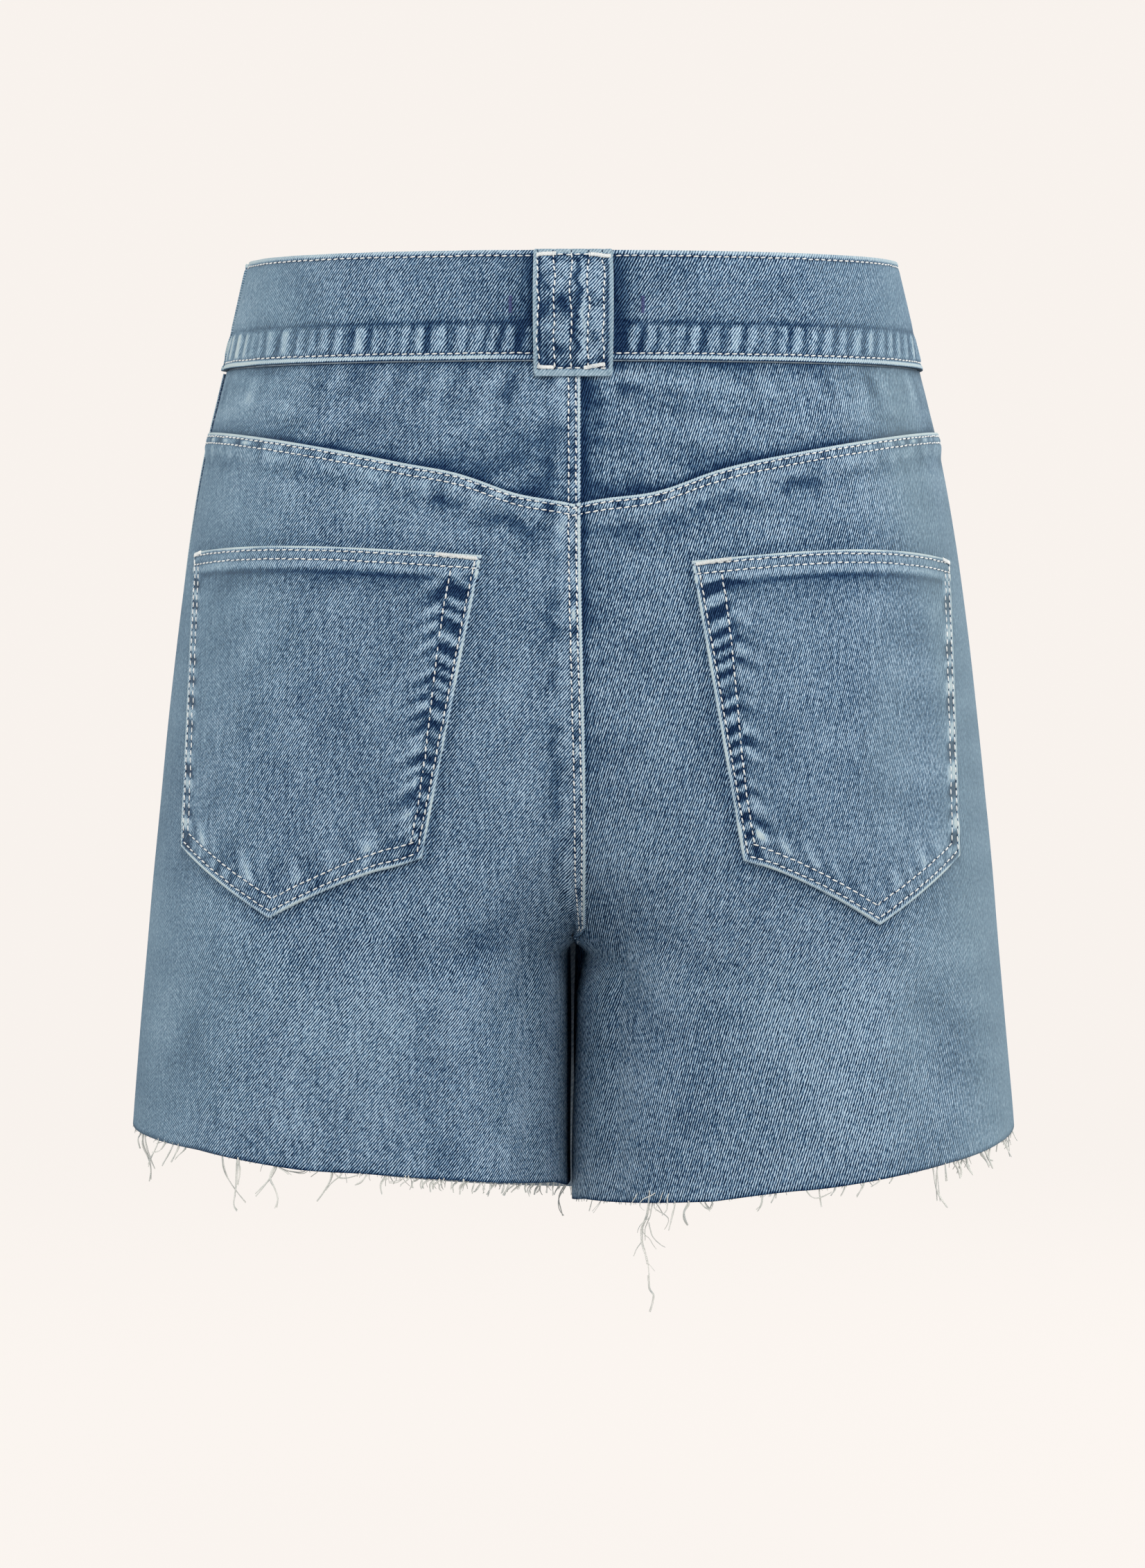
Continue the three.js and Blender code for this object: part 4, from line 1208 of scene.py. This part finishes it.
def loop_relief(x, z):
    """Height and colour of the loop, and where its edges are rolled: rubbed blotches, painted shade
    along the stitched rows, and a dark line just inside the rolled edges.
    """
    side_edge = LOOP_HALF - np.abs(x)
    end_edge = np.where(z > 0, LOOP_TOP - z, (z - LOOP_FOOT) / 1.45)
    pull = np.clip(sum(hump(x, row, 0.8) for row in LOOP_ROWS), 0, 1)
    worn = blots(LOOP_BLOTS, x, z, 137)
    inside = smooth_step(side_edge, 1.6, 3.0) * smooth_step(end_edge, 2.4, 3.4)
    rolled = 1 - np.minimum(smooth_step(side_edge, 1.3, 2.1), smooth_step(end_edge, 1.7, 2.4))
    rise = 0.26 * hump(side_edge, 1.0, 0.9) + 0.26 * hump(end_edge, 1.2, 1.0) - 0.36 * pull
    rise = rise + (0.16 * clouds(x, z, 7.5, 131, 1.4) - 0.5 * np.clip(worn, -0.5, 0.2)) * inside
    wear_and_shading = (0.15 + 1.15 * worn - 0.2 * pull) * inside + 0.2 * rolled
    beside = np.maximum(hump(side_edge, 2.7, 0.6), hump(end_edge, 2.9, 0.5))
    return rise, wear_and_shading - 0.36 * beside * (1 - rolled), rolled


def lay_loop(x, z, lift=0.0):
    out = loop_bow(z)[0] + LOOP_WALL + loop_relief(x, z)[0] + lift
    return back_face[LEFT].lay(angle_across(LEFT, x, z), z, out)


near = np.array((0, 0.45, 0.9, 1.5, 2.1, 2.8))
x = np.concatenate([LOOP_HALF - near, np.linspace(LOOP_HALF - 3.4, 3.4 - LOOP_HALF, 46),
                    near[::-1] - LOOP_HALF])
z = np.concatenate([LOOP_TOP - near, np.linspace(LOOP_TOP - 3.4, LOOP_FOOT + 3.4, 72),
                    LOOP_FOOT + near[::-1]])
x, z = np.meshgrid(x, z)
corner = np.where(z > 0, 1.3, 2.0)  # how round the corners are
into = np.clip(corner - np.minimum(LOOP_TOP - z, z - LOOP_FOOT), 0, 0.92 * corner)
x = x * (1 - (corner - np.sqrt(corner**2 - into**2)) / LOOP_HALF)
_, wear_and_shading, rolled = loop_relief(x, z)
loop = cloth_sheet("belt_loop", lay_loop(x, z)[0], np.stack([-x, z], -1), wear_and_shading, rolled,
                   (loop_denim, inner_denim, loop_denim), thickness=LOOP_WALL, rounded=0.75)


def loop_row(x):
    z = np.linspace(LOOP_TOP - 1.0, LOOP_FOOT + 3.2, 60)
    return lay_loop(x + 0.35 * drift(z, 16, int(x * 10) % 97), z)


def loop_cross_row(z):
    x = np.linspace(LOOP_HALF - 2.2, 2.2 - LOOP_HALF, 40)
    return lay_loop(x, z + 0 * x)


def loop_tack(x0, z0, x1, z1):
    return lay_loop(np.linspace(x0, x1, 14), np.linspace(z0, z1, 14), 0.12)


cross_rows = [loop_cross_row(LOOP_TOP - 2.4), loop_cross_row(LOOP_FOOT + 3.4)]
sew("thread_loop", [loop_row(row) for row in LOOP_ROWS] + cross_rows, 10, pitch=3.6)
loop_tacks = ((15.2, 21.5, 7.4, 21.9), (-7.4, 21.6, -16, 20.6), (15.4, -27.4, 8.4, -27.8),
              (-4.6, -27.9, -13.6, -26.4))
sew("thread_loop_tacks", [loop_tack(*ends) for ends in loop_tacks], 11, pitch=0.3,
    stitch=(0.95, 0.24, 0.36), tack=True)

# ---- Skirt panel ----------------------------------------------------------------------------
# One wide panel of the same denim across both fronts. It is sewn in beside the wearer's right side
# seam and hangs from its own band to a raw hem. Its free edge, at the left, is turned back and
# stitched in two rows.
# How far the panel lies outside the shorts: height, at the side, at the front, power.
SKIRT = (
    (-460, 6.0, 25, 2.72), (-392, 5.5, 24, 2.72), (-340, 5.2, 22, 2.72), (-281, 4.9, 19, 2.68),
    (-220, 4.6, 16, 2.58), (-160, 4.3, 12, 2.44), (-100, 4.0, 8, 2.30), (-60, 3.5, 5, 2.20),
    (-24, 2.9, 2.9, 2.14), (24, 2.9, 2.9, 2.10),
)
SKIRT_SEAM, SKIRT_LEAVES = math.radians(-174), math.radians(-148)
SKIRT_SIDE_HEM, SKIRT_DIP = -364, 32  # the hem's height at both sides, and how far it dips
SHORTS_LOW, SKIRT_LOW = -380.0, -390.0  # about the middle heights of the hems
SKIRT_ROWS = (2.6, 9.0)
SKIRT_CREASES = (
    (-150, -120, -160, -380, 16, 2.2), (-128, -180, -120, -390, 14, -2.0),
    (-60, -210, -52, -392, 20, 1.8), (-20, -240, -14, -396, 15, -1.6),
    (34, -200, 44, -396, 20, 2.0), (80, -230, 92, -388, 15, -1.8), (128, -120, 142, -380, 16, 1.6),
    (-110, -50, -40, -110, 22, 1.1), (60, -60, 130, -70, 18, 0.9), (-170, -60, -120, -40, 12, 0.8),
)
skirt_at = smooth_columns(SKIRT)


def skirt_point(angle, z):
    """A point of the panel's outer face: -180 degrees is the wearer's right, -90 the front."""
    width, _, _, _, front, _ = section_at(z)
    spread, stand, power = skirt_at(z)
    hanging = around(width + spread, front + stand, power, angle, z)
    flat = front_face[RIGHT].lay(np.clip(-np.pi - angle, -0.6, 0.1), z, 0.6 + DENIM)[0]
    away = smooth_step(angle, SKIRT_SEAM, SKIRT_LEAVES)[..., None]
    return np.where(away < 1, flat + (hanging - flat) * away, hanging)


def free_edge(z):
    return np.radians(-7 - 13 * np.clip((BAND_JOIN - z) / (BAND_JOIN - SKIRT_SIDE_HEM), 0, 1.1))


def skirt_hem(angle, z):
    share = np.clip((angle - SKIRT_SEAM) / (free_edge(z) - SKIRT_SEAM), 0, 1)
    return SKIRT_SIDE_HEM - SKIRT_DIP * np.sin(np.pi * share) ** 1.3


def skirt_foot(face, fixed, share):
    return settle(face, fixed, share, HEM_LEVEL, lambda angle, x: skirt_hem(angle, SHORTS_LOW))


skirt_face = Face(skirt_point, lambda z: SKIRT_SEAM + 0 * z, free_edge, 1)


def skirt_relief(length, z):
    angle = skirt_face.angle(length, z)
    x = skirt_face.point(angle, z)[..., 0]
    edge = skirt_face.reach(z) - length
    folds = creases(SKIRT_CREASES, x, z, 17) + 0.3 * clouds(x, z, 46, 140, 1.6)
    rise, wear_and_shading = stitched_lap(edge, z, SKIRT_ROWS, 141, height=0.8)
    held = smooth_step(length, 4, 40) * smooth_step(edge, 4, 34) * smooth_step(-z, 26, 60)
    rise = rise + folds * held - 0.6 * hump(length, 0, 1.5)
    wear_and_shading = wear_and_shading + 0.05 * clouds(x, z, 24, 143) - 0.30 * hump(z, skirt_hem(angle, z) + 0.2, 1.0)
    wear_and_shading = wear_and_shading + 0.10 * hump(np.abs(x), 78, 46) * hump(z, -190, 90) + 0.22 * hump(length, 1.6, 1.2)
    # A painted shadow of the skirt band, just under its lower edge.
    wear_and_shading = wear_and_shading - 0.20 * np.exp((z - BAND_FOOT) / 3.0)
    wear_and_shading = wear_and_shading + 0.16 * drift(length, 11, 144) * hump(z, -32, 6)
    return rise, wear_and_shading + 0.05 * np.clip(folds, -1, 1)


def lay_skirt(length, z):
    rise, wear_and_shading = skirt_relief(length, z)
    return *skirt_face.lay(skirt_face.angle(length, z), z, rise), wear_and_shading


fixed, share = spaced((0, 0.5, 1.2, 2.2, 3.6),
                      (0, 0.5, 1.1, 1.8, 2.6, 3.4, 4.6, 6, 7.6, 9, 10.4, 12, 14), 172)
hem = skirt_foot(skirt_face, fixed, share)
row_fixed, row_share = spaced((0, 1.5, 3.5), HEM_STEPS, 128)
z = BAND_JOIN - row_fixed[:, None] - row_share[:, None] * (BAND_JOIN - hem)
length = fixed + share * skirt_face.reach(z)
points, _, wear_and_shading = lay_skirt(length, z)
skirt_denim = denim("denim_skirt", 60)
skirt = cloth_sheet("skirt_panel", points, np.stack([length, z], -1), wear_and_shading, side_fade_and_sheen(points),
                    (skirt_denim, inner_denim, raw_edge))
z = np.arange(-30.0, -362.0, -2.0)
sew("thread_skirt", [lay_skirt(skirt_face.reach(z) - row, z)[:2] for row in SKIRT_ROWS], 12)

# ---- Skirt band -----------------------------------------------------------------------------
# A doubled band that holds the skirt panel and wraps over the front of the waistband. It is sewn
# in at the wearer's right side and buttons at the left, through one keyhole buttonhole.
WRAP_WALL, WRAP_INNER = 2.4, BAND_RISE + 0.3
WRAP_OUT = WRAP_INNER + WRAP_WALL
WRAP_SEAM, WRAP_END = math.radians(-170), math.radians(-6)
BUTTON_ANGLE = math.radians(-24)
HOLE_HALF = 10.5  # half the buttonhole's length


def wrap_point(angle, z):
    width, _, _, _, front, power = section_at(z)
    return around(width, front, power, angle, z)


wrap_face = Face(wrap_point, lambda z: WRAP_SEAM + 0 * z, lambda z: WRAP_END + 0 * z, 1)
button_length = float(wrap_face.length(np.array(BUTTON_ANGLE), np.array(0.0)))
hole_middle = button_length + HOLE_HALF - 3


def lay_wrap(length, z, lift=0.0):
    """The band's outer face, its normals and its colour: rubbed ridges, painted shade in the
    grooves and in the buttonhole's slit, and a painted shadow round the button.
    """
    rise, wear_and_shading = band_relief(BAND_TOP - z, length, 150)
    end = wrap_face.reach(z) - length
    slit = np.hypot(np.clip(np.abs(length - hole_middle) - HOLE_HALF, 0, 90), z)
    knob = np.hypot(length - button_length, z)
    rise = rise + 0.25 * hump(end, 1.2, 1.0) - 0.34 * hump(end, 3.2, 0.7)
    rise = rise - 0.7 * hump(slit, 0, 1.0) + 0.25 * hump(slit, 2.2, 0.9)
    wear_and_shading = wear_and_shading + 0.34 * hump(end, 0.8, 1.0) - 0.15 * hump(end, 3.2, 0.8)
    # Painted shade in the buttonhole's slit, and a painted shadow under and round the button.
    wear_and_shading = wear_and_shading - 0.6 * hump(slit, 0, 0.9) + 0.06 * clouds(length, z, 26, 151, 0.6)
    wear_and_shading = wear_and_shading - 0.22 * fading(knob - 8.5, 2.0)
    return *wrap_face.lay(wrap_face.angle(length, z), z, WRAP_OUT + rise + lift), wear_and_shading


fixed, share = spaced(BAND_ENDS, (0, 1.0, 1.7, 2.5, 3.2, 3.9, 5), 190)
upper = [BAND_STEPS, np.arange(6.5, 19, 2.4), np.arange(19.5, 29, 0.9), ROPED_ROWS]
row_fixed, row_share = spaced(np.concatenate(upper), (0, 1.0, 1.6, 2.2, 2.7, 3.2, 3.8), 2)
z = BAND_TOP - (row_fixed + row_share * (BAND_TOP - BAND_FOOT))[:, None] + 0 * fixed
length = fixed + share * wrap_face.reach(z)
points, _, wear_and_shading = lay_wrap(length, z)
wrap = cloth_sheet("skirt_band", points, np.stack([length, z], -1), wear_and_shading, side_fade_and_sheen(points),
                   (band_denim, inner_denim, band_denim), thickness=WRAP_WALL, rounded=0.75)


def wrap_row(down):
    z = BAND_TOP - down + np.zeros(500)
    return lay_wrap(np.linspace(0.01, 0.992, 500) * wrap_face.reach(z), z)[:2]


end_z = np.linspace(BAND_TOP - 2.4, BAND_FOOT + 3, 40)
end_row = lay_wrap(wrap_face.reach(end_z) - 3.2, end_z)[:2]
sew("thread_skirt_band", [wrap_row(row) for row in BAND_ROWS] + [end_row], 13)
turn = np.linspace(0, 2 * math.pi, 120)
hole_edge = lay_wrap(hole_middle + (HOLE_HALF + 1.3) * signed_power(np.cos(turn), 0.7),
                     1.6 * signed_power(np.sin(turn), 0.7), 0.1)[:2]
sew("thread_buttonhole", [hole_edge], 14, pitch=0.5, stitch=(1.2, 0.28, 0.3), tack=True)


# ---- Button ---------------------------------------------------------------------------------
# A plain shank button of worn brass: a turned cap with a rolled rim, a ring and a low dome. It is
# fixed through the waistband and shown fastened.
def revolve(name, outline, unit, steps):
    """A surface turned about the upright axis from its outline of (radius, height)."""
    bm = bmesh.new()
    chain = [bm.verts.new((radius * unit, 0, height * unit)) for radius, height in outline]
    edges = [bm.edges.new(pair) for pair in zip(chain, chain[1:])]
    bmesh.ops.spin(bm, geom=chain + edges, axis=(0, 0, 1), cent=(0, 0, 0), angle=2 * math.pi,
                   steps=steps, use_merge=True)
    bmesh.ops.remove_doubles(bm, verts=bm.verts, dist=1e-5)
    bmesh.ops.recalc_face_normals(bm, faces=bm.faces)
    mesh = bpy.data.meshes.new(name)
    bm.to_mesh(mesh)
    bm.free()
    return mesh


button_mesh = revolve("band_button", (
    (0, -2.7), (4.0, -2.7), (4.0, 0.05), (6.4, 0.15), (7.6, 0.35), (8.3, 0.85), (8.5, 1.5),
    (8.3, 2.1), (7.7, 2.55), (6.9, 2.62), (6.3, 2.3), (6.0, 1.95), (5.2, 1.9), (4.8, 2.1),
    (4.3, 2.45), (3.0, 2.68), (1.5, 2.78), (0, 2.8)), MM, 56)
seat, outward = wrap_face.lay(np.array([BUTTON_ANGLE]), np.array([0.0]), WRAP_OUT + 0.3)
turned_out = Vector(outward[0]).to_track_quat("Z", "Y").to_matrix().to_4x4()
button_mesh.transform(Matrix.Translation(Vector(seat[0]) * MM) @ turned_out)
brass = Nodes("worn_brass")
tarnish, scuffs = brass.specks(3.5, 4.0), brass.specks(0.5)
roughness = brass.sum((tarnish, 0.35), (scuffs, 0.2), (1.0, 0.12))
brass_colour = brass.ramp(brass.sum((tarnish, 0.8), (scuffs, 0.3), (1.0, -0.05)),
                          (0.3, 70, 58, 42), (0.5, 128, 112, 86), (0.72, 170, 154, 124))
brass.finish(brass_colour, {"Metallic": 1.0, "Roughness": roughness}, scuffs, 0.03)
show("band_button_brass", button_mesh, ["band_button"], (brass.material,))

# ---- Frayed hems ----------------------------------------------------------------------------
# Loose warp ends and curled weft threads that hang from the cut edges of both legs and the skirt
# panel: short ones everywhere, longer tufts here and there, and one long tuft on the right leg.
fringe_look = specked("frayed_thread", ((0.5, 1.0, 0.3), (5, 2.0, 1.0)), -0.15, (
    (0.25, 186, 191, 189), (0.45, 218, 219, 212), (0.75, 242, 240, 233)),
    {"Roughness": 0.95, "Sheen Weight": 0.2}, 0.1)
UNDER = -0.6  # the threads leave the cut edge from the middle of the cloth's thickness


def strand(draw, start, outward, along, length, curl):
    """One thread's path: it leaves the edge downwards and wanders as it hangs."""
    steps = max(int(length / 1.1), 3)
    heading = np.array([0, 0, -1.0]) + outward * draw.normal(0.12, 0.18)
    heading = heading + along * draw.normal(0, 0.35)
    swing, bend = draw.normal(0, curl), draw.normal(0, curl * 0.6)
    path = [start]
    for _ in range(steps):
        heading = heading / np.linalg.norm(heading)
        path.append(path[-1] + heading * length / steps)
        swing = 0.75 * swing + draw.normal(0, curl * 0.6)
        heading = heading + along * swing + outward * bend * 0.5 + np.array([0, 0, -0.16])
        bend = 0.7 * bend + draw.normal(0, curl * 0.4)
    return np.array(path)


def fray(name, threads):
    """Joins thin threads, each a path and its radius, into one mesh."""
    curve = bpy.data.curves.new(name, "CURVE")
    curve.dimensions, curve.bevel_depth, curve.bevel_resolution = "3D", MM, 0
    curve.use_fill_caps = True
    for path, radius in threads:
        spline = curve.splines.new("POLY")
        spline.points.add(len(path) - 1)
        places = np.concatenate([path * MM, np.ones((len(path), 1))], 1)
        spline.points.foreach_set("co", places.ravel())
        spline.points.foreach_set("radius", radius * np.linspace(1.0, 0.6, len(path)))
    maker = placed(name + "_maker", curve)
    bpy.context.view_layer.update()
    made = maker.evaluated_get(bpy.context.evaluated_depsgraph_get())
    mesh = bpy.data.meshes.new_from_object(made)
    bpy.data.objects.remove(maker)
    mesh.name = name + "_strands"
    show(mesh.name, mesh, [name], (fringe_look,))


def edge_strands(draw, threads, lay, whole, spots):
    """Adds threads along a cut edge: a few short ones all along it, and tufts at spots of
    (place, spread, how many, length)."""
    places = [(draw.uniform(0, whole), draw.uniform(0.7, 2.2)) for _ in range(int(whole / 4))]
    for centre, spread, count, length in spots:
        places += [(draw.normal(centre, spread / 2), length * draw.uniform(0.35, 1.0))
                   for _ in range(count)]
    for place, length in places:
        place = float(np.clip(place, 1, whole - 1))
        (start, step), outward = lay(np.array([place, place + 1.0]))
        along = (step - start) / np.linalg.norm(step - start)
        path = strand(draw, start + np.array([0, 0, 0.8]), outward[0], along, length, 0.34)
        threads.append((path, draw.uniform(0.18, 0.3)))


def hung_threads(draw, threads, table, side):
    """Adds threads placed one by one: thickness, where each leaves the hem, then where it goes
    from there, across and down. Each is a pair that lies together."""
    for radius, place, *turns in table:
        start = back_hem_spot(side, float(place))
        course = np.array([(0, -0.8), (0, 0.6), *turns], float)
        for _ in range(2):
            stray = draw.normal(0, 0.28, course.shape) * (np.arange(len(course)) > 0)[:, None]
            x, down = (course + stray).T
            path = start + np.stack([x, draw.normal(0, 0.4, len(x)).cumsum(), -down], -1)
            for _ in range(2):
                early, late = path[:-1], path[1:]
                cut = np.stack([0.75 * early + 0.25 * late, 0.25 * early + 0.75 * late], 1)
                path = np.concatenate([path[:1], cut.reshape(-1, 3), path[-1:]])
            threads.append((path, radius * draw.uniform(0.95, 1.3)))


def hem_edge(face, foot, level, count):
    """A hem's places by length along it, and its whole length, read at about its level."""
    shares, whole = np.linspace(0, 1, count), float(face.reach(level))
    z = foot(face, 0 * shares, shares)

    def lay(length):
        height = np.interp(length / whole, shares, z)
        return face.lay(face.angle(length / whole * face.reach(height), height), height, UNDER)

    return lay, whole


def back_hem_spot(side, x):
    z = float(hem_height(side, side_angle(HEM_LEVEL) / np.pi))
    for _ in range(6):
        angle = angle_across(side, np.array([abs(x)]), np.array([z]))
        z = float(hem_height(side, angle / np.pi)[0])
    return back_face[side].lay(angle, np.array([z]), UNDER)[0][0]


# Threads of the back hems that hang free, from the side seam inwards.
BACK_THREADS = {
    LEFT: (
        (0.32, 191, (1.6, 3), (0.4, 7)), (0.36, 190, (0.2, 5), (-2.8, 11), (-3.6, 16), (-3, 21)),
        (0.34, 188.4, (0, 5), (-2.4, 11), (-4, 15)), (0.3, 182, (1.3, 4), (3.3, 7.5), (4.6, 11)),
        (0.26, 179, (2, 4), (5.6, 4.6)), (0.32, 175, (2, 5), (4.8, 9)),
        (0.3, 172.4, (1.4, 4), (3.4, 7)), (0.28, 169, (2.8, 3), (5.2, 5)),
        (0.28, 152.5, (-0.6, 6), (-4.6, 13), (-10.4, 20)),
        (0.34, 145.4, (0.6, 8), (1.6, 15), (2.1, 20), (0.4, 22)),
        (0.3, 145.2, (-0.8, 5), (0.4, 11)), (0.36, 128.5, (2.6, 4.6), (6, 9), (9.2, 12.6)),
        (0.4, 129.6, (2.6, 5), (-0.6, 10), (-2, 14), (-0.7, 18)),
        (0.26, 127, (-5, 2), (-10.4, 3), (-12, 1)), (0.24, 127.6, (-3, 1.6), (-5, 3)),
        (0.36, 104, (0.7, 3.4), (4, 8), (6.8, 12.4)), (0.28, 103, (-2.6, 3), (-9, 1.6), (-10.6, 0)),
        (0.28, 100, (4.6, 4), (7, 7)), (0.28, 89.3, (2.7, 3.2), (5, 4.6)),
        (0.34, 81, (2.4, 3.8), (2, 8)), (0.26, 79.6, (1.4, 1.6)),
        (0.28, 72.6, (3.4, 2.2), (6.8, 2.2)), (0.3, 68.7, (1.4, 4.2)),
        (0.3, 2.4, (3.4, 6), (2.6, 11), (1, 14)),
    ),
    RIGHT: (
        (0.3, -189.4, (-2, 3.6), (-3.8, 7.6)), (0.34, -187, (0.7, 4)),
        (0.3, -191, (-1, 3), (-0.4, 5)), (0.5, -178.6, (-1.6, 3), (-3.6, 6.4)),
        (0.54, -180.4, (-2, 4), (-3.8, 7.6)), (0.5, -183, (0.6, 5.6)),
        (0.46, -181.6, (-0.4, 4), (-2, 5)), (0.44, -166, (-1.4, 3), (-3, 7)),
        (0.46, -168, (-1.6, 4.6), (-1, 7)), (0.46, -171.4, (-0.8, 4.2), (-3.4, 7.4)),
        (0.44, -170, (2, 4.4), (2.4, 6.4)), (0.3, -162, (-0.5, 7.6)),
        (0.38, -156.6, (-0.6, 5), (-1.8, 11), (-6.2, 17.6)),
        (0.32, -158.6, (0.6, 6), (-0.2, 15)), (0.26, -138.6, (1.7, 2.6)),
        (0.28, -132.6, (3.3, 2.8)), (0.32, -125.7, (1, 3.8), (3, 6)), (0.24, -117.4, (1.4, 3.8)),
        (0.26, -113.3, (2, 3.8)), (0.28, -101, (-2.6, 3), (-6.6, 2.6), (-10.6, 1)),
        (0.3, -106.6, (-0.4, 8)), (0.3, -87.4, (2, 4)), (0.34, -82, (0.6, 4.6), (2.4, 6.8)),
        (0.32, -54.8, (-4.6, 3.8), (-5.4, 0.2)), (0.28, -57, (-2.4, 4)),
        (0.42, -49.8, (2.6, 4), (1.6, 7.4), (0.5, 10)), (0.3, -43.8, (1, 5), (2.4, 12)),
        (0.17, -7.8, (1.6, 5.2)), (0.17, -11.5, (3.3, 5)),
    ),
}
HEM_TUFTS = ((14, 12, 8, 10), (60, 30, 10, 8), (110, 20, 8, 9), (165, 30, 10, 7), (205, 12, 6, 9))
SKIRT_TUFTS = (
    (10, 12, 8, 10), (60, 30, 12, 9), (130, 40, 14, 8), (190, 30, 12, 9), (255, 50, 16, 6),
    (300, 60, 18, 6), (345, 40, 14, 7), (400, 30, 12, 9), (460, 20, 10, 11),
)
for side in SIDES:
    draw, threads = np.random.default_rng(200 + side), []
    for face, turn, spots in ((back_face[side], 1, ()), (front_face[side], -1, HEM_TUFTS)):
        hem = hem_edge(face, raw_hem(side, turn), SHORTS_LOW, 160)
        edge_strands(draw, threads, *hem, spots)
    table = list(BACK_THREADS[side])
    if side == LEFT:  # a close row of small curls towards the inside of the leg
        for place in np.linspace(70, 5, 27) + draw.normal(0, 0.8, 27):
            lean = draw.uniform(0.6, 3.4)
            table.append((draw.uniform(0.24, 0.42), place, (lean, draw.uniform(2, 3.4)),
                          (lean * draw.uniform(0.4, 1.6), draw.uniform(3.6, 5.8))))
    hung_threads(draw, threads, table, side)
    fray(sided("hem_fringe", side), threads)

draw, threads = np.random.default_rng(203), []
hem = hem_edge(skirt_face, skirt_foot, SKIRT_LOW, 200)
edge_strands(draw, threads, *hem, SKIRT_TUFTS)
fray("skirt_fringe", threads)

# The long tuft: its main thread's places across and up, then its branches' starts and reaches.
LONG_THREAD = (
    (-33.5, -384), (-33.2, -388), (-32.0, -395), (-29.6, -401), (-29.8, -407), (-32.0, -414),
    (-32.6, -420), (-33.0, -427), (-35.0, -429.5), (-34.4, -433), (-33.2, -437),
)
BRANCHES = (
    (-36, -384, 15), (-34.6, -385, 20), (-31, -385, 12), (-33, -392, 13), (-30, -401, 11),
    (-29.8, -405, 9), (-31.4, -412, 9), (-39, -384, 10), (-42, -384, 12), (-28, -385, 7),
    (-32.6, -398, 14),
)


def right_back_place(x, z):
    return back_face[RIGHT].lay(angle_across(RIGHT, np.abs(x), z), z, UNDER)


draw = np.random.default_rng(205)
steps = np.linspace(0, len(LONG_THREAD) - 1, 40)
x, z = (np.interp(steps, np.arange(len(LONG_THREAD)), column) for column in zip(*LONG_THREAD))
main, _ = right_back_place(x, z)
threads = [(main, 0.38), (main[:22] + (0.6, 0.3, 0), 0.34), (main[:16] - (1.2, 0.2, 0), 0.36),
           (main[24:] + (0.5, 0, 0), 0.3)]
for x, z, length in BRANCHES:
    start, outward = right_back_place(np.array([float(x)]), np.array([float(z)]))
    path = strand(draw, start[0], outward[0], np.array([1.0, 0, 0]), length, 0.4)
    threads.append((path, draw.uniform(0.24, 0.36)))
fray("loose_threads", threads)

# ---- Studio ---------------------------------------------------------------------------------
# A plain pale floor that runs up into a wall all round, wide soft light, and a long lens level
# with the garment's middle, behind the wearer. Here lengths are in metres.
floor_mesh = revolve("floor", ((0.0, -0.62), (4.6, -0.62), (5.5, -0.37), (6.1, 0.28), (6.4, 1.38),
                               (6.4, 5.0)), 1, 72)
floor_mesh.polygons.foreach_set("use_smooth", np.ones(len(floor_mesh.polygons), bool))
floor = placed("floor", floor_mesh)
paper = Nodes("studio_paper")
floor_mesh.materials.append(paper.finish((0.06, 0.058, 0.055, 1), {
    "Emission Color": linear(249, 243, 238), "Emission Strength": 0.95, "Roughness": 1.0,
    "Specular IOR Level": 0.0}))
floor.visible_diffuse = floor.visible_glossy = floor.visible_shadow = False
floor.visible_transmission = False

world = bpy.data.worlds.new("studio")
bpy.context.scene.world = world
world.use_nodes = True
sky = world.node_tree.nodes["Background"]
sky.inputs["Color"].default_value = (1.0, 0.99, 0.98, 1)
sky.inputs["Strength"].default_value = 0.62


def soft_light(name, place, size, watts):
    data = bpy.data.lights.new(name, "AREA")
    data.shape, data.size, data.energy = "DISK", size, watts
    light = placed(name, data)
    light.location = place
    aim = Vector((0, 0, -0.2)) - light.location
    light.rotation_euler = aim.to_track_quat("-Z", "Y").to_euler()


soft_light("key_behind", (-0.35, 2.45, 1.6), 1.0, 31)
soft_light("side_left", (2.3, 0.5, 0.3), 1.2, 14)
soft_light("side_right", (-2.3, 0.5, 0.3), 1.2, 19)
soft_light("key_before", (-1.3, -2.3, 1.5), 1.0, 34)

camera_data = bpy.data.cameras.new("camera")
camera_data.lens, camera_data.sensor_width = 164.5, 36
camera_data.clip_start, camera_data.clip_end = 0.1, 30
camera = placed("camera", camera_data)
camera.location = (0.0003, 3.2, -0.183)
aim = Vector((0.0003, 0, -0.208)) - camera.location
camera.rotation_euler = aim.to_track_quat("-Z", "Y").to_euler()
bpy.context.scene.camera = camera
bpy.context.scene.view_settings.view_transform = "Standard"
